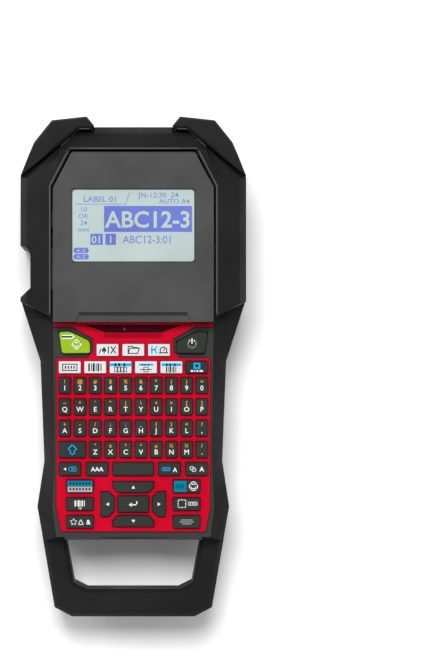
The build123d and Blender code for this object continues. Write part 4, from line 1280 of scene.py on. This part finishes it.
class Keyboard:
    """Every key of the printer."""

    def sets(self) -> Iterable[KeySet]:
        """Give the key sets in order, from the top of the keyboard.

        Returns:
            Each key set.
        """
        yield KeySet(
            "print_key",
            GREEN_KEY,
            [
                [
                    Mark(Icon.tag, WHITE_INK, -0.42, 0.52, 2.8),
                    Mark(Icon.dashes, CYAN_INK, -0.5, 0.52, 3.2),
                    Mark(Icon.printing, WHITE_INK, 0.12, -0.2, 4.4),
                ]
            ],
            corner=1.6 * MM,
        )
        yield KeySet("power_key", DARK_KEY, [[Mark(Icon.power, WHITE_INK, 0.0, -0.12, 4.6)]], corner=1.6 * MM)
        yield KeySet(
            "icon_keys",
            LIGHT_KEY,
            [
                [Mark(Icon.symbols, BLACK_INK, size=4.4)],
                [Mark(Icon.folder, BLACK_INK, size=5.0)],
                [Mark(Icon.settings, CYAN_INK, -0.42, 0.0, 4.2), Mark(Icon.dial, BLACK_INK, 0.4, -0.08, 4.6)],
            ],
        )
        yield KeySet(
            "mode_keys",
            LIGHT_KEY,
            [
                [Mark(Icon.label, BLACK_INK, size=5.6)],
                [Mark(Icon.bars, BLACK_INK, size=6.0)],
                [
                    Mark(Icon.dashes, CYAN_INK, up=0.42, size=6.0),
                    Mark(Icon.grid, BLACK_INK, up=-0.36, size=4.6),
                ],
                [
                    Mark(Icon.dashes, CYAN_INK, up=0.42, size=4.0),
                    Mark(Icon.flag, BLACK_INK, up=-0.36, size=4.0),
                ],
                [
                    Mark(Icon.dashes, CYAN_INK, up=0.42, size=5.4),
                    Mark(Icon.bars, BLACK_INK, up=-0.36, size=4.6),
                ],
                [
                    Mark(Icon.block, CYAN_INK, 0.0, 0.24, 3.4),
                    Mark(Icon.block, DARK_KEY, 0.0, 0.24, 1.5),
                    Mark(Icon.dashes, WHITE_INK, 0.0, -0.6, 3.4),
                ],
            ],
            {5: DARK_KEY},
        )
        yield KeySet("digit_keys", DARK_KEY, letter_marks("1234567890", "!@#$%&*()="))
        yield KeySet("top_letter_keys", DARK_KEY, letter_marks("QWERTYUIOP", "~^'\"|\\<>[]"))
        yield KeySet("middle_letter_keys", DARK_KEY, letter_marks("ASDFGHJKL,", "+-/;:_{}=?"))
        yield KeySet("bottom_letter_keys", DARK_KEY, letter_marks("ZXCVBNM.", "°±²³µ½¼/"))
        yield KeySet("shift_key", DARK_KEY, [[Mark(Icon.shift, CYAN_INK, size=5.4)]])
        yield KeySet(
            "lower_function_keys",
            DARK_KEY,
            [
                [Mark(Icon.left, WHITE_INK, -0.45, size=1.8), Mark(Icon.cross, CYAN_INK, 0.25, size=3.4)],
                [Mark("AAA", WHITE_INK, size=2.6)],
                [Mark(Icon.label, CYAN_INK, -0.3, size=3.0), Mark("A", WHITE_INK, 0.5, -0.1, 2.6)],
                [Mark(Icon.copies, WHITE_INK, -0.35, size=3.6), Mark("A", WHITE_INK, 0.45, 0.0, 2.8)],
            ],
        )
        yield KeySet("space_key", DARK_KEY, [[]])
        yield KeySet(
            "left_side_keys",
            DARK_KEY,
            [
                [
                    Mark(Icon.upper_half, TEAL_INK, size=5.6),
                    Mark(Icon.lower_half, GREY_INK, size=5.6),
                    Mark(Icon.studs, SOIL_INK, up=0.45, size=5.0),
                    Mark(Icon.studs, SOIL_INK, up=-0.42, size=5.0),
                ],
                [Mark(Icon.bars, WHITE_INK, up=0.12, size=4.6), Mark("12", WHITE_INK, 0.0, -0.6, 1.4)],
                [Mark(Icon.star, WHITE_INK, -0.2, size=4.2), Mark("&", WHITE_INK, 0.62, 0.0, 2.8)],
            ],
        )
        yield KeySet(
            "right_side_keys",
            DARK_KEY,
            [
                [
                    Mark(Icon.block, TEAL_INK, -0.5, 0.0, 6.2),
                    Mark(Icon.label, BLACK_INK, -0.5, 0.0, 3.0),
                    Mark(Icon.printing, WHITE_INK, 0.5, 0.0, 4.2),
                ],
                [
                    Mark(Icon.cut_here, WHITE_INK, -0.35, 0.08, 4.4),
                    Mark(Icon.grid, WHITE_INK, 0.45, 0.08, 3.4),
                ],
                [Mark(Icon.columns, GREY_INK, size=3.6)],
            ],
        )
        yield KeySet("up_key", DARK_KEY, [[Mark(Icon.up, WHITE_INK, size=2.1)]])
        yield KeySet("down_key", DARK_KEY, [[Mark(Icon.down, WHITE_INK, size=2.1)]])
        yield KeySet("left_key", DARK_KEY, [[Mark(Icon.left, WHITE_INK, size=2.1)]])
        yield KeySet("right_key", DARK_KEY, [[Mark(Icon.right, WHITE_INK, size=2.1)]])
        yield KeySet("enter_key", DARK_KEY, [[Mark(Icon.enter, WHITE_INK, size=3.3)]])

    def build(self) -> None:
        """Build every key and report it."""
        for keys in self.sets():
            log.info("%s: %d keys", keys.node, keys.build())


# --- cover and display ----------------------------------------------------------------------------
@dataclass
class Display:
    """The screen in the cover's window, with a made-up label on it.

    Attributes:
        line: Width of the dark line round the screen.
        corner: Radius of the screen's corners.
        bed: Thickness of the layers under the glass.
        fit: Gap round the backing and the glass.
        plate: Thickness of the liquid crystal plate.
        air: Gap between the plate and the glass.
    """

    line: float = 0.75 * MM
    corner: float = 2.2 * MM
    bed: float = 0.3 * MM
    fit: float = 0.03 * MM
    plate: float = 0.2 * MM
    air: float = 0.12 * MM

    def build(self) -> None:
        """Build the dark line, the plate, what it shows and the glass."""
        low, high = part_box("display_window")
        self.left, self.right = low.x, high.x
        self.bottom, self.top = low.y, high.y
        self.floor, self.roof = low.z, high.z
        self.face = self.floor + self.bed
        self._layers()
        self._picture()
        self._glass()

    def spot(self, across: float, down: float) -> Point:
        """Give a point of the screen, from shares of its width and of its height.

        Args:
            across: Share of the width, from the left.
            down: Share of the height, from the top.

        Returns:
            The point.
        """
        return (
            self.left + (self.right - self.left) * across,
            self.top - (self.top - self.bottom) * down,
        )

    def _outline(self, inset: float, corner: float) -> list[Point]:
        """Give the screen's rounded outline, moved in on every side.

        Args:
            inset: How far the sides move in.
            corner: The corners' radius.

        Returns:
            The outline's points.
        """
        left, right = self.left + inset, self.right - inset
        bottom, top = self.bottom + inset, self.top - inset
        return rounded([(left, bottom), (right, bottom), (right, top), (left, top)], corner, 6)

    def _layers(self) -> None:
        """Lay the dark backing and the pale liquid crystal plate on it."""
        backing = bmesh.new()
        prism(backing, self._outline(self.fit, self.corner), self.floor + 0.02 * MM, self.face - 0.05 * MM)
        to_object("screen_backing", backing, DISPLAY_BORDER, "cover")
        plate = bmesh.new()
        prism(plate, self._outline(self.line, self.corner), self.face - self.plate, self.face)
        to_object("screen_plate", plate, DISPLAY_GLASS, "cover")

    def _glass(self) -> None:
        """Close the pocket with a clear window whose rim is rounded."""
        mesh = bmesh.new()
        prism(mesh, self._outline(self.fit, self.corner), self.face + self.air, self.roof)
        glass = to_object("screen_window", mesh, WINDOW_GLASS, "cover")
        bevel = glass.modifiers.new("rounding", "BEVEL")
        bevel.width = 0.15 * MM
        bevel.segments = 2
        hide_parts("display_window")

    def _block(self, pen: Pen, left: float, right: float, top: float, bottom: float) -> None:
        """Fill a part of the screen, given as shares of its size."""
        corners = ((left, bottom), (right, bottom), (right, top), (left, top))
        pen.shape([self.spot(across, down) for across, down in corners])

    def _picture(self) -> None:
        """Show a label being written, with generic status marks."""
        ink = Pen(self.face)
        faint = Pen(self.face)
        self._block(ink, 0.265, 0.972, 0.235, 0.585)
        self._block(ink, 0.155, 0.255, 0.61, 0.76)
        self._block(ink, 0.275, 0.36, 0.61, 0.76)
        faint.text("ABC12-3:01", self.spot(0.615, 0.685), 4.6 * MM, 0.012, 0.92)
        faint.text("LABEL 01", self.spot(0.235, 0.14), 3.3 * MM, 0.02, 1.1)
        faint.text("]N-12:30  24", self.spot(0.7, 0.085), 3.0 * MM, 0.012, 1.1)
        faint.text("AUTO A4", self.spot(0.83, 0.17), 2.8 * MM, 0.012, 1.1)
        for down, words in ((0.28, "10"), (0.37, "OK"), (0.46, "24"), (0.55, "mm")):
            faint.text(words, self.spot(0.1, down), 2.8 * MM, 0.012, 1.1)
        faint.stroke([self.spot(0.035, 0.21), self.spot(0.44, 0.21), self.spot(0.468, 0.06)], 0.4 * MM)
        for down in (0.835, 0.92):
            middle = self.spot(0.08, down)
            pill = [(-0.5, -0.21), (0.5, -0.21), (0.62, 0.0), (0.5, 0.21), (-0.5, 0.21), (-0.62, 0.0)]
            ink.shape(pill, middle, 7.4 * MM)
        over = Pen(self.face + 0.03 * MM)
        over.text("ABC12-3", self.spot(0.62, 0.41), 9.6 * MM, 0.03, 1.0)
        over.text("01", self.spot(0.205, 0.685), 4.4 * MM, 0.02)
        over.text("1", self.spot(0.318, 0.685), 4.4 * MM, 0.02)
        for down in (0.835, 0.92):
            over.text("A-Z", self.spot(0.08, down), 1.9 * MM, 0.0, 1.3)
        ink.piece("screen_blocks", DISPLAY_INK, "cover")
        faint.piece("screen_writing", DISPLAY_FAINT, "cover")
        over.piece("screen_inverse_writing", DISPLAY_GLASS, "cover")


# --- lines where edges catch the light ------------------------------------------------------------
def surface_height(nodes: Sequence[str], x: float, y: float) -> float:
    """Give the height of the uppermost of some nodes at a place.

    Args:
        nodes: The nodes that are looked at.
        x: The place across.
        y: The place along.

    Returns:
        The height, or 0 where none of them lies.
    """
    heights = [0.0]
    for node in nodes:
        hit = tree_of(node).ray_cast(Vector((x, y, 1.0)), Vector((0.0, 0.0, -1.0)))[0]
        if hit:
            heights.append(hit.z)
    return max(heights)


@functools.lru_cache(maxsize=None)
def tree_of(node: str) -> BVHTree:
    """Give a search tree of a CAD node's faces in the frame.

    Args:
        node: The node.

    Returns:
        The search tree.
    """
    solid = frame["nodes"][node]
    corners = [solid.matrix_world @ vertex.co for vertex in solid.data.vertices]
    return BVHTree.FromPolygons(corners, [tuple(polygon.vertices) for polygon in solid.data.polygons])


@dataclass(frozen=True)
class EdgeLine:
    """A thin line of painted highlight laid on the surface along a path.

    Attributes:
        name: The piece's name.
        path: The path's points, in millimetres.
        width: The line's width.
        nodes: The nodes that it lies on.
        body: The body that it rides on.
        finish: Its finish.
    """

    name: str
    path: tuple[Point, ...]
    width: float
    nodes: tuple[str, ...]
    body: str
    finish: Finish

    def build(self) -> None:
        """Lay a ribbon of short quads over the surface."""
        mesh = bmesh.new()
        lift = 0.04 * MM
        for start, end in zip(self.path, self.path[1:]):
            first, last = Vector(start) * MM, Vector(end) * MM
            along = last - first
            across = Vector((-along.y, along.x)).normalized() * self.width / 2
            steps = max(1, round(along.length / (2.0 * MM)))
            rows = []
            for step in range(steps + 1):
                spot = first + along * step / steps
                height = surface_height(self.nodes, spot.x, spot.y) + lift
                rows.append([mesh.verts.new((*(spot + across * side), height)) for side in (-1, 1)])
            for near, far in zip(rows, rows[1:]):
                mesh.faces.new((near[0], near[1], far[1], far[0]))
        to_object(self.name, mesh, self.finish, self.body)


@dataclass
class Details:
    """Painted highlights on the edges round the cover and on the bumpers, and painted shade in the finger
    scoops.

    Points are in millimetres. Those of the scoops count from the middle of the cover's lip.

    Attributes:
        rim_gap: Distance from the cover to the line round it.
        rim_corner: Distance across from the rim's side to its upper corner.
        rim_shoulder: Distance down from the rim's top to its shoulder.
        rim_rise: How far above the lip the rim's line ends.
        rim_width: Width of the rim's line.
        bumper_edge: The right bumper's inner edge, from the middle and from its top.
        bumper_width: Width of the bumpers' lines.
        deep: Outline of the bezel scoop's floor.
        shallow: Outline of the slope below it, painted a lighter shade than the floor.
        step: Outline of the shaded step in the cover's scoop.
        arrow_place: Place of the arrow head in the bezel's scoop.
        arrow_size: Size of the arrow head.
    """

    rim_gap: float = 1.9
    rim_corner: float = 11.3
    rim_shoulder: float = 21.6
    rim_rise: float = 3.0
    rim_width: float = 0.55 * MM
    bumper_edge: tuple[Point, ...] = ((41.9, -17.0), (31.2, -7.1), (23.6, -7.1))
    bumper_width: float = 0.6 * MM
    deep: tuple[Point, ...] = ((-28.6, -1.3), (-16.6, -5.9), (16.6, -5.9), (28.6, -1.3))
    shallow: tuple[Point, ...] = ((-17.0, -6.2), (-17.0, -9.0), (17.0, -9.0), (17.0, -6.2))
    step: tuple[Point, ...] = ((-31.0, 5.3), (-31.6, 3.6), (31.6, 3.6), (31.0, 5.3))
    arrow_place: Point = (-5.2, -3.6)
    arrow_size: float = 1.9

    def build(self) -> None:
        """Build every line and both scoops."""
        for line in self.lines():
            line.build()
        self._bezel_scoop()
        self._cover_scoop()

    def lines(self) -> Iterable[EdgeLine]:
        """Give the painted highlight lines: the rim round the cover and the bumpers' inner edges.

        Returns:
            Each line.
        """
        low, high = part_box("display_cover")
        half, top = high.x / MM + self.rim_gap, high.y / MM + self.rim_gap
        end = low.y / MM + self.rim_rise
        corner, shoulder = half - self.rim_corner, top - self.rim_shoulder
        left = ((-half, end), (-half, shoulder), (-corner, top))
        rim = left + tuple((-x, y) for x, y in reversed(left))
        case = "front_case"
        yield EdgeLine("cover_rim_line", rim, self.rim_width, (case,), body_of(case), EDGE_HIGHLIGHT_PAINT)
        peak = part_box("left_bumper")[1].y / MM
        for side, node in ((-1, "left_bumper"), (1, "right_bumper")):
            edge = tuple((side * x, peak + y) for x, y in self.bumper_edge)
            yield EdgeLine(f"{node}_line", edge, self.bumper_width, (node, case), body_of(node), EDGE_HIGHLIGHT_PAINT)

    def _bezel_scoop(self) -> None:
        """Paint shade into the scoop below the cover's lip, dark on its floor and lighter on its slope, and
        mark it with an arrow head.
        """
        body = body_of("keyboard_bezel")
        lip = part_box("display_cover")[0].y
        deep = surface_height(("keyboard_bezel",), 0.0, lip - 4.5 * MM)
        shallow = surface_height(("keyboard_bezel",), 0.0, lip - 8.2 * MM)
        # The floor and the slope plates are painted shade, darker on the floor than on the slope.
        floor = Pen(deep)
        floor.shape(self.deep, (0.0, lip), MM)
        floor.piece("scoop_floor", SCOOP_SHADE, body)
        slope = Pen(shallow)
        slope.shape(self.shallow, (0.0, lip), MM)
        slope.piece("scoop_slope", SCOOP_HALF_SHADE, body)
        mark = Pen(deep + 0.06 * MM)
        across, along = self.arrow_place
        Icon(mark, (across * MM, lip + along * MM), self.arrow_size * MM).up()
        mark.piece("scoop_arrow", SCOOP_MARK, body)

    def _cover_scoop(self) -> None:
        """Shade the step at the upper end of the cover's scoop."""
        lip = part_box("display_cover")[0].y
        floor = surface_height(("display_cover",), 0.0, lip + 2.5 * MM)
        step = Pen(floor)
        step.shape(self.step, (0.0, lip), MM)
        step.piece("cover_step", STEP_SHADE, body_of("display_cover"))


# --- studio ---------------------------------------------------------------------------------------
@dataclass
class Studio:
    """The pale floor, the soft lights and the camera.

    Attributes:
        camera_height: Height of the camera above the floor.
        lens: Focal length in millimetres.
        shift: How far the picture's middle is moved from the printer's, in picture heights.
    """

    camera_height: float = 1.6
    lens: float = 144.3
    shift: Point = (0.135, 0.0614)

    def build(self) -> None:
        """Build the floor, the lights, the surroundings and the camera."""
        self._floor()
        self._lamp("key_lamp", (-0.08, 0.55, 1.7), 0.6, 30.0, gloss=False)
        self._lamp("side_lamp", (-1.6, 0.9, 1.0), 0.8, 9.0)
        self._surroundings(0.55)
        self._camera()

    def _floor(self) -> None:
        """Lay a wide floor with an uneven, nearly white coat."""
        mesh = bmesh.new()
        bmesh.ops.create_grid(mesh, x_segments=8, y_segments=8, size=3.0)
        data = bpy.data.meshes.new("floor")
        mesh.to_mesh(data)
        mesh.free()
        floor = bpy.data.objects.new("floor", data)
        bpy.context.scene.collection.objects.link(floor)
        data.materials.append(FLOOR_COAT.material())

    def _lamp(
        self, name: str, place: tuple[float, float, float], size: float, power: float, gloss: bool = True
    ) -> None:
        """Hang a square lamp that points at the middle of the printer, mirrored by gloss or not.

        Args:
            name: The lamp's name.
            place: Where it hangs.
            size: The length of its sides.
            power: Its power in watts.
            gloss: Whether glossy surfaces mirror it.
        """
        light = bpy.data.lights.new(name, "AREA")
        light.shape = "SQUARE"
        light.size = size
        light.energy = power
        lamp = bpy.data.objects.new(name, light)
        lamp.location = place
        lamp.visible_glossy = gloss
        lamp.rotation_euler = (-Vector(place)).to_track_quat("-Z", "Y").to_euler()
        bpy.context.scene.collection.objects.link(lamp)

    def _surroundings(self, strength: float) -> None:
        """Light the scene evenly from a pale world.

        Args:
            strength: The world's strength.
        """
        world = bpy.data.worlds.new("surroundings")
        world.use_nodes = True
        backdrop = world.node_tree.nodes["Background"]
        backdrop.inputs["Color"].default_value = (1.0, 1.0, 1.0, 1.0)
        backdrop.inputs["Strength"].default_value = strength
        bpy.context.scene.world = world
        bpy.context.scene.view_settings.view_transform = "Standard"

    def _camera(self) -> None:
        """Set the camera straight above the printer, looking down."""
        lens = bpy.data.cameras.new("camera")
        lens.lens = self.lens
        lens.sensor_width = 36.0
        lens.shift_x, lens.shift_y = self.shift
        lens.dof.use_dof = False
        camera = bpy.data.objects.new("camera", lens)
        camera.location = (0.0, 0.0, self.camera_height)
        bpy.context.scene.collection.objects.link(camera)
        bpy.context.scene.camera = camera


# --- the whole printer ----------------------------------------------------------------------------
@dataclass(frozen=True)
class Shell:
    """A moulded part that is shown with rounded edges.

    Attributes:
        node: The node that the shell stands for.
        finish: Its finish.
        width: Width of its rounded edges.
        angle: Edges that turn less than this many degrees stay sharp.
    """

    node: str
    finish: Finish
    width: float = 0.5 * MM
    angle: float = 28.0


SHELLS = (
    Shell("front_case", CASE_PLASTIC, 0.6 * MM, 14.0),
    Shell("rear_case", CASE_PLASTIC, 0.6 * MM),
    Shell("exit_guide", CASE_PLASTIC, 0.3 * MM),
    Shell("left_bumper", BUMPER_RUBBER, 0.8 * MM, 16.0),
    Shell("right_bumper", BUMPER_RUBBER, 0.8 * MM, 16.0),
    Shell("display_cover", COVER_PLASTIC, 0.5 * MM, 12.0),
    Shell("keyboard_bezel", BEZEL_RED, 0.35 * MM),
    Shell("battery_door", CASE_PLASTIC, 0.4 * MM),
    Shell("cover_liner", INNER_PLASTIC, 0.4 * MM),
)


def dress_cad_nodes() -> int:
    """Give every CAD node that still shows the finish of its slot, and give their number.

    Returns:
        The number of nodes.
    """
    count = 0
    for node, solid in frame["nodes"].items():
        if solid.hide_render:
            continue
        finish = DARK_STEEL if node == "cover_hinge_pin" else SLOT_FINISHES[slot_of(node)]
        solid.data.materials.clear()
        solid.data.materials.append(finish.material())
        count += 1
    return count


def main() -> None:
    """Build every sub-assembly in order, and report each."""
    logging.basicConfig(level=logging.INFO, format="%(message)s")
    for shell in SHELLS:
        softened(shell.node, shell.finish, shell.width, shell.angle)
        log.info("shell of %s", shell.node)
    Keyboard().build()
    Display().build()
    Details().build()
    log.info("edge lines and scoops")
    log.info("%d CAD nodes keep their shape", dress_cad_nodes())
    Studio().build()


if __name__ == "__main__":
    main()
